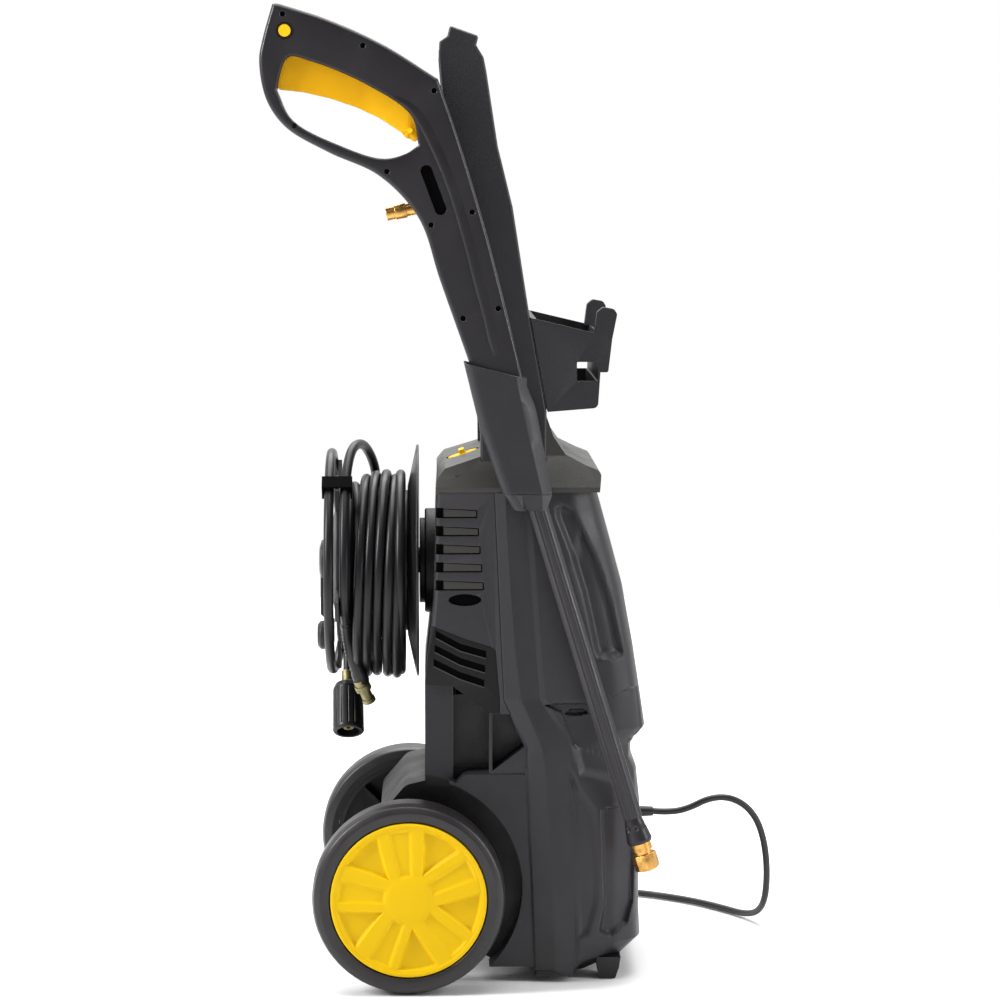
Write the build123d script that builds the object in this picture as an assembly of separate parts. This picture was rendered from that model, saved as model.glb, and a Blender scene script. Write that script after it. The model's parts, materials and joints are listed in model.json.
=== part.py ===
from build123d import *
import math
import os

# Upright wheeled pressure washer. Millimetres, +Z up, wheels and hose reel at the back (+Y), the
# cord, water inlet and outlet at the front (-Y), spray gun on the left side (-X).
# The origin is on the floor, under the middle of the machine.

# ---- driving dimensions -------------------------------------------------------------------------
WHEEL_R = 87.5            # tyre outer radius
WHEEL_WIDE = 42
WHEEL_OUT = 165           # outer face of each wheel from the middle plane
WHEEL_Y, WHEEL_Z = 49, WHEEL_R
HUB_R = 71                # wheel cover
AXLE_R = 8
AXLE_GAP = 0.1            # running clearance of a wheel on the axle
BODY_HALF = 115           # half width of the casings
BAND_HALF = 119           # half width over the flange where front and rear casings meet
WALL = 3
ARCH_R = 104              # wheel arch
REEL_Z = 377              # reel axis height
REEL_R = 109              # inner flange
DRUM_R = 66
HOSE_D = 9
HOSE_COIL_R = 97.5        # outside of the hose winding
HOSE_SAG = 13             # the loose winding hangs this much below the drum's axis
REEL_Y0, REEL_Y1 = 52, 112   # hose winding, along the axis
GUN_X = -140              # middle plane of the gun and of the lance
GUN_HALF = 16.5
LANCE_TOP = (GUN_X, -69.4, 437)
LANCE_UP = Vector(0, 84.9, 279.3).normalized()
LANCE_R = 9
TRIGGER_PIVOT = (GUN_X, 46, 777)
TRIGGER_SWING = 8
BUTTON_Y, BUTTON_Z, BUTTON_R = 155.7, 864.2, 5.3
CORD_D = 6.5
CORD_X, CORD_Z = 75, 120.5
INLET_R = 13.22           # G3/4 male thread
OUTLET_R = 11             # M22 male thread
THREAD = 12               # threaded length of both
MOTOR_Z0, MOTOR_Z1 = 215, 375
PUMP_Y = -62              # motor and pump axis, upright in the middle

MADE = {}


def keep(name, *solids):
    """Record a sub-part; several solids become a group in one file."""
    MADE[name] = solids[0] if len(solids) == 1 else Compound(children=list(solids))


# ---- building blocks ----------------------------------------------------------------------------
def outline(points):
    """Face in the YZ plane from (y, z) corners, each with an optional corner radius."""
    corners = [(p[0], p[1]) for p in points]
    radii = [p[2] if len(p) > 2 else 0 for p in points]
    return make_face(Plane.YZ * FilletPolyline(*corners, radius=radii, close=True))


def slab(points, x0, x1):
    """The outline pushed from x0 to x1."""
    return Pos(x0, 0, 0) * extrude(outline(points), amount=x1 - x0, dir=(1, 0, 0))


def block(x0, x1, y0, y1, z0, z1):
    return Pos((x0 + x1) / 2, (y0 + y1) / 2, (z0 + z1) / 2) * Box(x1 - x0, y1 - y0, z1 - z0)


def turned(points, origin, along):
    """Solid of revolution; points are (distance along the axis, radius), with optional corner radius."""
    along = Vector(*along).normalized()
    side = Vector(1, 0, 0) if abs(along.X) < 0.9 else Vector(0, 0, 1)
    side = (side - along * side.dot(along)).normalized()
    plane = Plane(origin=origin, x_dir=along, z_dir=side)
    corners = [(p[0], p[1]) for p in points]
    radii = [p[2] if len(p) > 2 else 0 for p in points]
    face = make_face(plane * FilletPolyline(*corners, radius=radii, close=True))
    return revolve(face, axis=Axis(origin, tuple(along)))


def rod(origin, along, length, radius):
    return turned([(0, 0), (length, 0), (length, radius), (0, radius)], origin, along)


def tube(origin, along, length, radius, bore):
    return turned([(0, bore), (length, bore), (length, radius), (0, radius)], origin, along)


def both_sides(shape):
    return shape, mirror(shape, about=Plane.YZ)


def lance_point(height):
    """Point of the lance axis at a height."""
    step = (height - LANCE_TOP[2]) / LANCE_UP.Z
    return (GUN_X, LANCE_TOP[1] + LANCE_UP.Y * step, height)


def softened(shape, edges, radius):
    """Fillet, with a smaller radius where the full one doesn't fit."""
    for share in (1, 0.6, 0.35):
        try:
            return fillet(edges, radius * share)
        except Exception:
            print("no fillet of", radius * share)
    return shape


# ---- inner space shared by the casings ----------------------------------------------------------
MIDDLE_ROOM = [(19, 460), (19, 446), (21, 354), (24, 300), (26, 240), (5, 240), (5, 193), (2, 30),
               (-118, 26), (-140, 44), (-160, 50), (-160, 160), (-147, 205), (-147, 222), (-162, 240),
               (-150, 310), (-128, 400), (-112, 460)]
FLANK_ROOM = [(19, 460), (19, 446), (21, 354), (24, 300), (27, 284), (-25, 256), (-40, 254), (-62, 216),
              (-72, 190), (-72, 24), (-98, 24), (-98, 190), (-96, 232), (-108, 270), (-72, 430), (-60, 460)]
cavity = slab(MIDDLE_ROOM, -86, 86) + slab(FLANK_ROOM, -107, 107)

# line where the rear mouldings meet the front casing
SEAM = [(-28.5, 460), (-37.5, 262), (-59.5, 216), (-60.5, 140), (-66, 16), (-66, 0)]
behind_seam = slab(SEAM + [(150, 0), (150, 460)], -130, 130)


# ---- rear housing -------------------------------------------------------------------------------
DECK_LINE = [(9, 275), (-24.7, 250)]   # lower edge of the housing, over the pillars
VENT_ROWS = 5
VENT_TOP, VENT_STEP, VENT_TALL = 438.2, 16.5, 9.5


def rear_housing():
    side = [(22.5, 451.6), (23.5, 438), (26, 354), (31, 304), (34, 279), (34, 275)] + DECK_LINE + \
        [(-60, 248), (-60, 451.6)]
    shell = slab(side, -BODY_HALF, BODY_HALF) & behind_seam
    upright = [e for e in shell.edges() if e.center().Y > 22 and abs(e.center().X) > 110]
    shell = softened(shell, [e for e in upright if e.length > 24], 5)
    shell -= cavity
    shell -= block(-49.2, 49.2, 15, 34.2, REEL_Z - 60, REEL_Z + 60) & rod((0, 0, REEL_Z), (0, 1, 0), 60, 49.2)
    for row in range(VENT_ROWS):
        top = VENT_TOP - VENT_STEP * row
        end = -13.9 - 1.5 * row
        pocket = slab([(30, top - VENT_TALL), (30, top), (end, top - 2, 1), (end, top - VENT_TALL, 1)],
                      -BODY_HALF - 1, -BODY_HALF + 2)
        slot = slab([(30, top - VENT_TALL), (30, top), (17, top), (17, top - VENT_TALL)],
                    -BODY_HALF - 1, -BODY_HALF + 6)
        for cut in both_sides(pocket + slot):
            shell -= cut
    oval = Pos(-BODY_HALF - 1, -2.6, 354) * extrude(Plane.YZ * Ellipse(15, 5.5), amount=6, dir=(1, 0, 0))
    for cut in both_sides(oval):
        shell -= cut
    for cut in both_sides(slab(LOUVRE_SIDE, -BODY_HALF - 1, -BODY_HALF + 4)):
        shell -= cut
    return shell


LOUVRE_SIDE = [(40, 337), (26, 330), (-4, 318), (-27, 311, 3), (-30.5, 308, 3), (-34.4, 262), (-34.4, 240),
               (40, 240)]


def louvre_panels():
    """Recessed side panels with three sagging slots."""
    panel = slab([(25.3, 329.4), (-4, 317.7), (-27, 310.7, 3), (-30.2, 307.7, 3), (-34.1, 262), (-34.1, 250),
                  (-24.7, 250), (9, 275), (33, 276), (30.2, 304)], -BODY_HALF + 1.2, -BODY_HALF + 4)
    for row in range(3):
        drop = 13 * row
        sag = [(24 + row, 326 - drop), (2, 314 - drop), (-22 + row, 307 - drop * 1.02),
               (-22 + row, 300 - drop * 1.02), (2, 307 - drop), (24 + row, 319 - drop)]
        panel -= slab(sag, -BODY_HALF, -BODY_HALF + 5)
    return both_sides(panel)


# ---- front casing -------------------------------------------------------------------------------
def front_section(height, seam, band, panel, front, bulge, corner_half, front_half):
    """One level of the front casing as a plan outline, mirrored about the middle plane."""
    half = [(BODY_HALF - 1, seam), (BAND_HALF, band), (bulge, panel),
            (corner_half, front + 22), (front_half, front + 4), (front_half - 20, front)]
    return [(x, y, height) for x, y in half] + [(-x, y, height) for x, y in reversed(half)]


def faceted(levels):
    """Closed solid through plan outlines that have the same number of corners."""
    faces = [make_face(Polyline(*levels[0], close=True)), make_face(Polyline(*levels[-1], close=True))]
    for low, high in zip(levels, levels[1:]):
        for here in range(len(low)):
            after = (here + 1) % len(low)
            a, b, c, d = low[here], low[after], high[after], high[here]
            faces.append(make_face(Polyline(a, b, c, close=True)))
            faces.append(make_face(Polyline(a, c, d, close=True)))
    return Solid(Shell(faces))


FRONT_LEVELS = [
    # height, seam, band, panel edge, front, half width: panel edge, corner, front
    (451.6, -28, -44, -60, -124, 114, 103, 88),
    (408, -29, -46, -62, -136, 116, 105, 90),
    (363, -31, -49, -65, -148, 117, 107, 92),
    (308, -34, -53, -68, -158, 117, 108, 94),
    (262, -37.5, -58, -72, -165, 117, 109, 95),
    (232, -52, -68, -84, -169.6, 112, 100, 90),
    (216, -60, -74, -95, -152, 110, 96, 86),
    (203, -61, -77, -99, -154, 113, 100, 88),
    (192, -61, -78, -101, -162, 115, 104, 90),
    (160, -62, -80, -104, -165.3, 116, 106, 92),
    (60, -66, -84, -103, -164.4, 117, 107, 92),
    (36, -67, -85, -102, -165.9, 117, 107, 92),
    (20, -68, -85, -102, -146, 114, 103, 88),
    (5, -72, -86, -100, -112, 106, 96, 86),
]


def front_casing():
    shell = faceted([front_section(*level) for level in FRONT_LEVELS])
    shell = shell - behind_seam - cavity
    shell += block(-65, 53, -162, -147, 59, 153)
    # finger scoop on each flank, tilted like the lance
    top, low = Vector(-117, -97, 425), Vector(-117, -134, 290)
    scoop = rod(top, low - top, (low - top).length, 15) + Pos(*top) * Sphere(15) + Pos(*low) * Sphere(15)
    recess = slab([(-126, 160, 4), (-156, 163, 4), (-154, 50, 12), (-128, 50, 12)], -125, -101)
    slot = slab([(-92, 248), (-99, 252), (-111, 252), (-116, 249)], -125, -104)
    for cut in both_sides(scoop + recess + slot):
        shell -= cut
    # bay in the nose for the water fittings
    shell -= block(-62, 50, -180, -150, 62, 150)
    shell -= rod((CORD_X, -180, CORD_Z), (0, 1, 0), 60, 6.2)
    for x, radius in zip(FITTING_X, (INLET_R, OUTLET_R)):
        shell -= rod((x, -151, FITTING_Z), (0, 1, 0), 30, radius + 0.2)
    for foot in feet():
        shell -= foot
    return shell


FITTING_X, FITTING_Z = (-30, 22), 106


# ---- chassis behind the front casing ------------------------------------------------------------
def chassis():
    """Rear chassis: arches, axle carrier, two pillars and the motor deck, in one moulding."""
    side = [(-28, 14), (-66, 14, 2), (-61.5, 77), (-58, 187), (-57.5, 193), (8, 193), (8, 182),
            (35, 182), (52, 178, 14), (76, 150, 14), (74, 100, 10), (62, 60, 10), (20, 40, 10)]
    shell = slab(side, -84, 84) + block(-82, 82, -57, 8, 185, 262)
    shell -= slab([(-32, 20), (-90, 20), (-90, 280), (5, 280), (5, 180), (20, 178), (48, 170), (68, 145),
                   (66, 104), (57, 68), (16, 48)], -79, 79)
    flank = slab([(-66, 14), (-61.5, 77), (-58, 187), (-57.5, 193, 2), (-2, 193, 8), (12, 178),
                  (-20, 60), (-28, 14)], -114, -84)
    flank -= slab([(-60, 20), (-56, 78), (-53, 188), (-8, 188), (6, 178), (-24, 60), (-32, 20)], -111, -84)
    arch = rod((-130, WHEEL_Y, WHEEL_Z), (1, 0, 0), 46, ARCH_R)
    arch_wall = rod((-114, WHEEL_Y, WHEEL_Z), (1, 0, 0), 30, ARCH_R + 3) & flank_block()
    for part in both_sides((flank + arch_wall) - arch):
        shell += part
    pillar = block(-100, -60, 8.4, 34, 180, 274.9) - block(-97, -63, 11.4, 31, 181, 280)
    gusset = slab([(-24.5, 262), (-24.5, 193), (-62, 193), (-62, 212), (-40, 262)], -112, -79)
    gusset -= slab([(-27.5, 249), (-27.5, 196), (-57, 218), (-42, 249)], -113, -84)
    for part in both_sides(pillar + gusset):
        shell += part
    carrier = rod((-84, WHEEL_Y, WHEEL_Z), (1, 0, 0), 168, 18)
    shell += carrier
    shell -= rod((-130, WHEEL_Y, WHEEL_Z), (1, 0, 0), 260, AXLE_R)
    deck = block(-79, 79, -118, 5, 205, 211) - rod((0, PUMP_Y, 200), (0, 0, 1), 20, 17)
    housing = slab([(60, 275), (34, 275)] + DECK_LINE + [(-60, 248), (-60, 300), (60, 300)], -120, 120)
    shell = (shell & behind_seam) - housing + deck
    for screw in seam_screws():
        shell -= screw
    return shell


def flank_block():
    return block(-114, -84, -66, 12, 14, 193)


# ---- top cover with the saddle that carries the handle -------------------------------------------
def post_side():
    return [(-17.5, 455), (-17, 503), (17.8, 819), (20, 847, 2), (19.7, 857, 2), (12.5, 862, 2),
            (10.2, 871.5, 2), (-15.7, 862.3, 3), (-13.5, 854, 2), (-20.1, 843.2, 2), (-22.4, 832),
            (-32.8, 764), (-46.3, 709), (-61, 614.7), (-77.2, 524), (-77.2, 455)]


POST_OUT, POST_IN = 100, 72


def top_cover():
    side = [(22.5, 452), (22.5, 464, 5), (15.3, 473), (-19, 484), (-58, 494), (-77.5, 519),
            (-83.5, 501.3), (-94.8, 484.8), (-112.7, 475.8, 6), (-127, 470, 6), (-125, 452)]
    cover = slab(side, -BODY_HALF, BODY_HALF)
    slope = Plane.XZ.offset(-30) * make_face(Polyline((-BODY_HALF - 1, 455), (-97, 484), (-97, 530),
                                                      (-BODY_HALF - 1, 530), close=True))
    for cut in both_sides(extrude(slope, amount=180, dir=(0, -1, 0))):
        cover -= cut
    cover -= slab([(19, 450), (19, 461), (14, 467), (-19, 477), (-56, 486), (-100, 464), (-119, 461),
                   (-118, 450)], -70, 70)
    for post in both_sides(slab(post_side(), -POST_OUT - 0.2, -POST_IN + 0.2)):
        cover -= post
    cover -= rod(SWITCH_AT, SWITCH_UP, -20, 4.3) + rod(SWITCH_AT, SWITCH_UP, 10, 16.5)
    for cut in both_sides(slab([(10, 464, 1), (-14, 471, 1), (2, 470, 1)], -120, -108)):
        cover -= cut
    return cover


SWITCH_AT = (0, -2.4, 475.5)
SWITCH_UP = Vector(0, 10.7, 34.3).normalized()


def switch_knob():
    knob = turned([(0.4, 0), (0.4, 15), (3, 14.2, 1), (3, 0)], SWITCH_AT, SWITCH_UP)
    knob += Location(Plane(origin=SWITCH_AT, z_dir=SWITCH_UP)) * Pos(0, 0, 4.5) * Box(5, 24, 5)
    return knob + rod(SWITCH_AT, SWITCH_UP, -9.8, 4)


# ---- handle -------------------------------------------------------------------------------------
def handle_frame():
    post = slab(post_side(), -POST_OUT, -POST_IN)
    long_edges = [e for e in post.edges() if abs(e.center().X + POST_OUT) < 0.1 and e.length > 40]
    post = softened(post, long_edges, 2.5)
    return both_sides(post)


def handle_grip():
    """Cross bar between the posts."""
    side = [(16, 836, 9), (16, 858, 9), (-12, 855, 9), (-16, 834, 9)]
    bar = slab(side, -POST_IN, POST_IN)
    return bar


# ---- accessory tray, with cord horns at its outer corners ----------------------------------------
def tray():
    outer = [(-62.6, 609.4), (-128.1, 593.9, 2), (-123.8, 527.6, 5), (-78.2, 524)]
    box = slab(outer, -POST_OUT, POST_OUT)
    box -= slab([(-66, 620), (-125, 600), (-121, 531, 3), (-81, 527.3)], -POST_OUT + WALL, POST_OUT - WALL)
    box -= slab([(-104.6, 569.4, 1), (-123.7, 569.4, 1), (-123.7, 552, 1), (-104.6, 552, 1)],
                -POST_OUT - 1, POST_OUT + 1)
    horn = slab([(-125, 560), (-126, 594), (-120.2, 594.2), (-122.8, 614.5, 4), (-128.3, 619, 4),
                 (-138.3, 617.2, 4), (-141, 612.7, 3), (-136.5, 590, 4), (-133, 560, 2)],
                -POST_OUT, -POST_OUT + 13)
    for part in both_sides(horn):
        box += part
    return box


# ---- gun holster --------------------------------------------------------------------------------
HOLSTER_OUT, HOLSTER_IN = -163.5, -119.6


def holster():
    """Open-topped sleeve with a lance hole in its tapered foot."""
    outer = [(0.6, 572.1), (-11.2, 569.4), (-48, 559.5, 5), (-57.5, 557.5, 6), (-65.4, 539), (-79.8, 458.8, 3),
             (-79.8, 452.5), (-75.5, 440), (-45.9, 440), (-37.9, 452.6), (-35.2, 454.4, 4), (-15.6, 512.5)]
    sleeve = slab(outer, HOLSTER_OUT, HOLSTER_IN)
    rounded = [e for e in sleeve.edges() if abs(e.center().X - HOLSTER_OUT) < 0.1 and e.length > 70]
    sleeve = softened(sleeve, rounded, 6)
    inner = [(2, 590), (-3.5, 567), (-18.6, 512), (-38.2, 458), (-76, 458), (-62, 539), (-55.5, 560), (-56, 590)]
    sleeve -= slab(inner, HOLSTER_OUT + WALL, HOLSTER_IN - WALL)
    foot = lance_point(430)
    sleeve -= rod(foot, LANCE_UP, 60, LANCE_R + 3.4)
    arm = slab([(-22, 552), (-56, 545), (-64, 506), (-32, 506)], HOLSTER_IN - 1, -POST_OUT)
    return sleeve + arm


# ---- spray gun ----------------------------------------------------------------------------------
BODY_FRONT = [(-72.5, 470), (-54.4, 556.4), (-38.6, 621), (-20.8, 690), (2, 766.3), (21, 822)]
BODY_TOP = [(21, 822), (69.6, 852.4), (119.9, 874.9), (160, 887.6)]
BODY_LOOP = [(166.5, 887.6), (175.2, 857.2), (178.4, 838.3), (172.2, 803.9), (155.1, 779.6),
             (117.3, 757.6), (73.2, 737.2), (38.5, 700.1), (19.6, 645.1), (-6.4, 571.5)]
BODY_TAIL = [(-6.4, 571.5), (-48, 470)]
GUARD_LOW = [(163.5, 812.5), (150.3, 786.7), (107.8, 764), (69.9, 752.4), (49.5, 756.8), (38.3, 764)]
GUARD_TOP = [(38.3, 764), (44.6, 789.9), (85.5, 818), (132.7, 837.5), (153, 841), (163.5, 812.5)]


def closed_face(*runs):
    """Face in the YZ plane; a run of two points is a straight line, a longer one a smooth curve."""
    lines = []
    for run in runs:
        lines.append(Polyline(*run) if len(run) == 2 else Spline(*run))
    return make_face(Plane.YZ * Wire(edges=[e for line in lines for e in line.edges()]))


def gun_half(side):
    """One half of the gun, with its guard opening."""
    face = closed_face(BODY_FRONT, BODY_TOP, [BODY_TOP[-1], BODY_LOOP[0]], BODY_LOOP, BODY_TAIL,
                       [BODY_TAIL[-1], BODY_FRONT[0]])
    body = Pos(GUN_X, 0, 0) * extrude(face, amount=GUN_HALF, dir=(side, 0, 0))
    guard = extrude(closed_face(GUARD_LOW, GUARD_TOP), amount=60, dir=(1, 0, 0))
    return body - Pos(GUN_X - 30, 0, 0) * guard


def trigger_side():
    return [(40.5, 766, 3), (36, 777, 4), (46, 794, 6), (85.5, 822), (132.7, 842), (153, 845, 5),
            (162.2, 836, 5), (162, 813.2, 2), (140.7, 811), (117.1, 805.6), (93.5, 797.7), (73, 788.2),
            (54.1, 775.8)]


def trigger():
    lever = slab(trigger_side(), GUN_X - 9, GUN_X + 9)
    ears = rod((GUN_X - 9, TRIGGER_PIVOT[1], TRIGGER_PIVOT[2]), (1, 0, 0), 18, 7)
    lever = lever + ears
    return lever - rod((GUN_X - 12, TRIGGER_PIVOT[1], TRIGGER_PIVOT[2]), (1, 0, 0), 24, 2.55)


def gun_shells():
    """Left and right halves, hollowed for the trigger, the valve and the water tube."""
    hollows = [slab([(32, 758), (26, 778), (34, 800, 6), (80, 836), (128, 858), (152, 866, 6), (171, 862, 6),
                     (169, 812, 3), (150, 800), (60, 768)], GUN_X - 9.6, GUN_X + 9.6),
               rod(VALVE_AT, LANCE_UP, 66, 10.2),
               rod(lance_point(452), LANCE_UP, 256, 7.2),
               rod(INLET_ROOT, INLET_DIR, 60, 7.2),
               rod((GUN_X - 30, BUTTON_Y, BUTTON_Z), (1, 0, 0), 60, BUTTON_R + 0.3),
               rod((GUN_X - 15.2, TRIGGER_PIVOT[1], TRIGGER_PIVOT[2]), (1, 0, 0), 30.4, 2.5)]
    for y, z in SCREWS:
        hollows.append(rod((GUN_X - GUN_HALF - 1, y, z), (1, 0, 0), 2 * GUN_HALF - 1, 3.2))
    halves = []
    for side in (-1, 1):
        face = GUN_X + side * GUN_HALF
        half = gun_half(side)
        for hollow in hollows:
            half -= hollow
        half -= rod((face - 1, BUTTON_Y, BUTTON_Z), (1, 0, 0), 2, BUTTON_R + 2.7)
        half -= slab([(39, 744, 4), (30, 748, 4), (11, 712, 4), (20, 706, 4)], face - 2, face + 2)
        halves.append(half)
    return halves


SCREWS = [(157.4, 878.5), (87.1, 851.2), (24.6, 811.8), (149.2, 776), (66.3, 741), (27.5, 693.9),
          (-8.9, 705.3), (-32, 620.2), (-0.8, 611.3)]
VALVE_AT = lance_point(690)
INLET_ROOT = (GUN_X, 22, 712)
INLET_DIR = Vector(0, 0.982, -0.19)


def gun_valve():
    """Brass trigger valve and the tube that carries water to the lance."""
    valve = rod(Vector(*VALVE_AT) + LANCE_UP * 2, LANCE_UP, 60, 10)
    return valve + rod(lance_point(454), LANCE_UP, 252, 7)


def gun_inlet():
    """Threaded brass inlet, its bore open at the end."""
    fitting = turned([(0, 0), (0, 7), (18, 7), (18, 5.5), (28, 5.5), (28, 6.6, 0.5), (38, 6.6, 0.5),
                      (38, 6, 0.3), (46, 6, 0.5), (46, 3), (10, 3), (10, 0)], INLET_ROOT, INLET_DIR)
    return fitting - rod(Vector(*VALVE_AT) - LANCE_UP * 30, LANCE_UP, 100, 10.05)


def gun_screws():
    return [rod((GUN_X - GUN_HALF + 2, y, z), (1, 0, 0), 2 * GUN_HALF - 6, 3) for y, z in SCREWS]


# ---- lance --------------------------------------------------------------------------------------
LANCE_END_Z = 158


def lance_tube():
    """Steel water tube from the gun to the coupler."""
    start = Vector(*lance_point(452))
    end = Vector(*lance_point(142))
    return tube(start, end - start, (end - start).length, 5, 3)


def lance_sleeve():
    """Ribbed plastic sleeve over the tube."""
    start = Vector(*lance_point(451))
    end = Vector(*lance_point(LANCE_END_Z))
    length = (end - start).length
    sleeve = rod(start, end - start, length, LANCE_R)
    down = (end - start).normalized()
    across = down.cross(Vector(1, 0, 0))
    for step in range(8):
        angle = math.radians(22.5 + 45 * step)
        spot = start + (Vector(1, 0, 0) * math.cos(angle) + across * math.sin(angle)) * (LANCE_R + 0.9)
        sleeve -= rod(spot, down, length, 1.8)
    return sleeve - rod(start, down, length, 5)


def lance_flare():
    """Fluted plastic end behind the coupler."""
    base = Vector(*lance_point(LANCE_END_Z))
    flare = turned([(0, 5), (0, 8), (6, 9.2), (21, 11.7, 1.5), (24, 11, 1), (24, 5)], base, LANCE_UP * -1)
    across = LANCE_UP.cross(Vector(1, 0, 0))
    for step in range(8):
        angle = math.radians(45 * step)
        out = Vector(1, 0, 0) * math.cos(angle) + across * math.sin(angle)
        flare -= Pos(*(base + out * 12.6 - LANCE_UP * 8)) * Sphere(4.2)
    return flare


COUPLER_Z = lance_point(LANCE_END_Z)[2] - 24 * LANCE_UP.Z


def coupler_body():
    """Brass socket that takes a nozzle plug."""
    top = Vector(*lance_point(COUPLER_Z))
    return turned([(0, 3), (0, 9.5), (7, 9.5), (7, 8), (26, 8), (26, NOZZLE_R), (8, NOZZLE_R), (8, 3)],
                  top, LANCE_UP * -1) - rod(top + LANCE_UP * 1, LANCE_UP * -1, 7, 5)


NOZZLE_R = 5.95


def coupler_collar():
    """Sliding octagonal collar."""
    top = Vector(*lance_point(COUPLER_Z)) - LANCE_UP * 10.5
    plane = Plane(origin=tuple(top), x_dir=(1, 0, 0), z_dir=tuple(LANCE_UP * -1))
    ring = extrude(plane * RegularPolygon(11.6, 8), amount=14.5, dir=tuple(LANCE_UP * -1))
    rims = [e for e in ring.edges() if e.length < 12 and abs(e.tangent_at(0).dot(LANCE_UP)) < 0.5]
    ring = softened(ring, rims, 0.8)
    return ring - rod(top + LANCE_UP, LANCE_UP * -1, 30, 8.05)


# ---- wheels -------------------------------------------------------------------------------------
def wheel_parts(side):
    """Tyre, rim and cover of one wheel; side is -1 or +1."""
    origin = (side * (WHEEL_OUT - WHEEL_WIDE), WHEEL_Y, WHEEL_Z)
    out = (side, 0, 0)
    tyre = turned([(1, HUB_R + 0.8), (0, 78, 2), (3, WHEEL_R - 2, 4), (11, WHEEL_R, 6), (31, WHEEL_R, 6),
                   (39, WHEEL_R - 2, 4), (WHEEL_WIDE, 80, 3), (WHEEL_WIDE - 1, HUB_R + 0.8, 1)], origin, out)
    rim = turned([(2, HUB_R + 0.6), (2, HUB_R - 4), (20, HUB_R - 4), (20, 22), (4, 22), (4, AXLE_R + AXLE_GAP),
                  (30, AXLE_R + AXLE_GAP), (30, 22), (24, 22), (24, HUB_R - 8), (34, HUB_R - 8),
                  (34, HUB_R + 0.6)], origin, out)
    for step in range(8):
        rib = block(5, 21, -2, 2, 21, HUB_R - 3)
        rib = Pos(*origin) * Rot(45 * step, 0, 0) * (rib if side > 0 else mirror(rib, about=Plane.YZ))
        rim += rib
    cover = turned([(37.5, 0), (41, 0), (41, 19.5), (39, 21), (39, HUB_R - 7), (41.5, HUB_R - 5.5),
                    (41.5, HUB_R - 0.6, 1.2), (35, HUB_R - 0.2), (35, HUB_R - 3), (37, HUB_R - 6), (37, 20), (37.5, 18)],
                   origin, out)
    return tyre, rim, cover


def axle():
    return rod((-WHEEL_OUT + 9, WHEEL_Y, WHEEL_Z), (1, 0, 0), 2 * WHEEL_OUT - 18, AXLE_R)


def axle_caps():
    """Push-on caps that keep the wheels on."""
    cap = turned([(0, AXLE_R), (0, 12), (1.5, 12), (5, 10.5), (5, 0), (3.4, 0), (3.4, AXLE_R)],
                 (WHEEL_OUT - 11.7, WHEEL_Y, WHEEL_Z), (1, 0, 0))
    return both_sides(cap)


# ---- hose reel ----------------------------------------------------------------------------------
REEL_AT = (0, 0, REEL_Z)


def reel_bracket():
    """Stepped boss on the rear housing, and the spindle that the drum turns on."""
    boss = turned([(22, 0), (22, 49), (34, 49, 2), (34, 40), (38.8, 40, 1), (38.8, 0)], REEL_AT, (0, 1, 0))
    return boss + rod((0, 38, REEL_Z), (0, 1, 0), 88, 12)


def reel_drum():
    return turned([(50.2, 12.1), (50.2, DRUM_R), (112.6, DRUM_R), (112.6, 12.1), (109.6, 12.1),
                   (109.6, DRUM_R - 3), (53.2, DRUM_R - 3), (53.2, 12.1)], REEL_AT, (0, 1, 0))


def reel_inner_flange():
    """Dished flange next to the machine."""
    return turned([(46.5, 12.1), (46.5, 70), (42.5, REEL_R - 18), (39.4, REEL_R, 0.8), (41.6, REEL_R, 0.8),
                   (45.5, REEL_R - 18), (50, 70), (50, 12.1)], REEL_AT, (0, 1, 0))


def reel_outer_flange():
    """Hub plate with five arms that hold the winding on the drum."""
    plate = turned([(112.8, 12.1), (112.8, 76), (116, 76, 1.5), (117, 56), (122, 30), (127.5, 24, 2),
                    (127.5, 12.1)], REEL_AT, (0, 1, 0))
    for step in range(5):
        arm = block(-10, 10, 112.8, 116.2, 70, 101.9)
        plate += Pos(0, 0, REEL_Z) * Rot(0, CLIP_TURN + 72 * step, 0) * arm
    return plate


def reel_cap():
    """End cap with the crank arm."""
    cap = turned([(127.8, 0), (127.8, 20), (131, 19, 1.5), (133, 12, 1.5), (133, 0)], REEL_AT, (0, 1, 0))
    arm = slab([(127.8, REEL_Z - 6), (132, REEL_Z - 6), (132, REEL_Z - 50), (124, REEL_Z - 58),
                (124, REEL_Z - 80, 2), (119.5, REEL_Z - 80, 2), (119.5, REEL_Z - 57), (127.8, REEL_Z - 49)], -9, 9)
    return cap + arm + rod((0, 122, CRANK_Z), (0, 1, 0), 11, 4)


CRANK_Z = REEL_Z - 71


def crank_knob():
    return turned([(0, 4.1), (0, 11), (3, 13.5, 2), (8, 13.5, 2), (11, 10, 2), (11, 0), (9.4, 0),
                   (9.4, 4.1)], (0, 124.3, CRANK_Z), (0, 1, 0))


def hose_coil():
    """Loose winding round the drum, and the straight end that leads to the nut."""
    winding = rod((0, REEL_Y0, REEL_Z - HOSE_SAG), (0, 1, 0), REEL_Y1 - REEL_Y0, HOSE_COIL_R)
    winding -= rod((0, REEL_Y0 - 1, REEL_Z), (0, 1, 0), 70, DRUM_R + 0.6)
    lead = rod(NUT_TOP - NUT_DOWN * 14, NUT_DOWN * -1, 58, HOSE_D / 2)
    return winding, lead


CLIP_TURN = -39           # degrees from straight up, towards the gun side


def hose_clip():
    """Clip over the end of one arm, round the two outer turns."""
    clip = block(-7, 7, 100.5, 128.5, 88, 104) - block(-8, 8, 102.5, 126.5, 80, 102)
    return Pos(0, 0, REEL_Z) * Rot(0, CLIP_TURN, 0) * clip


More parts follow.
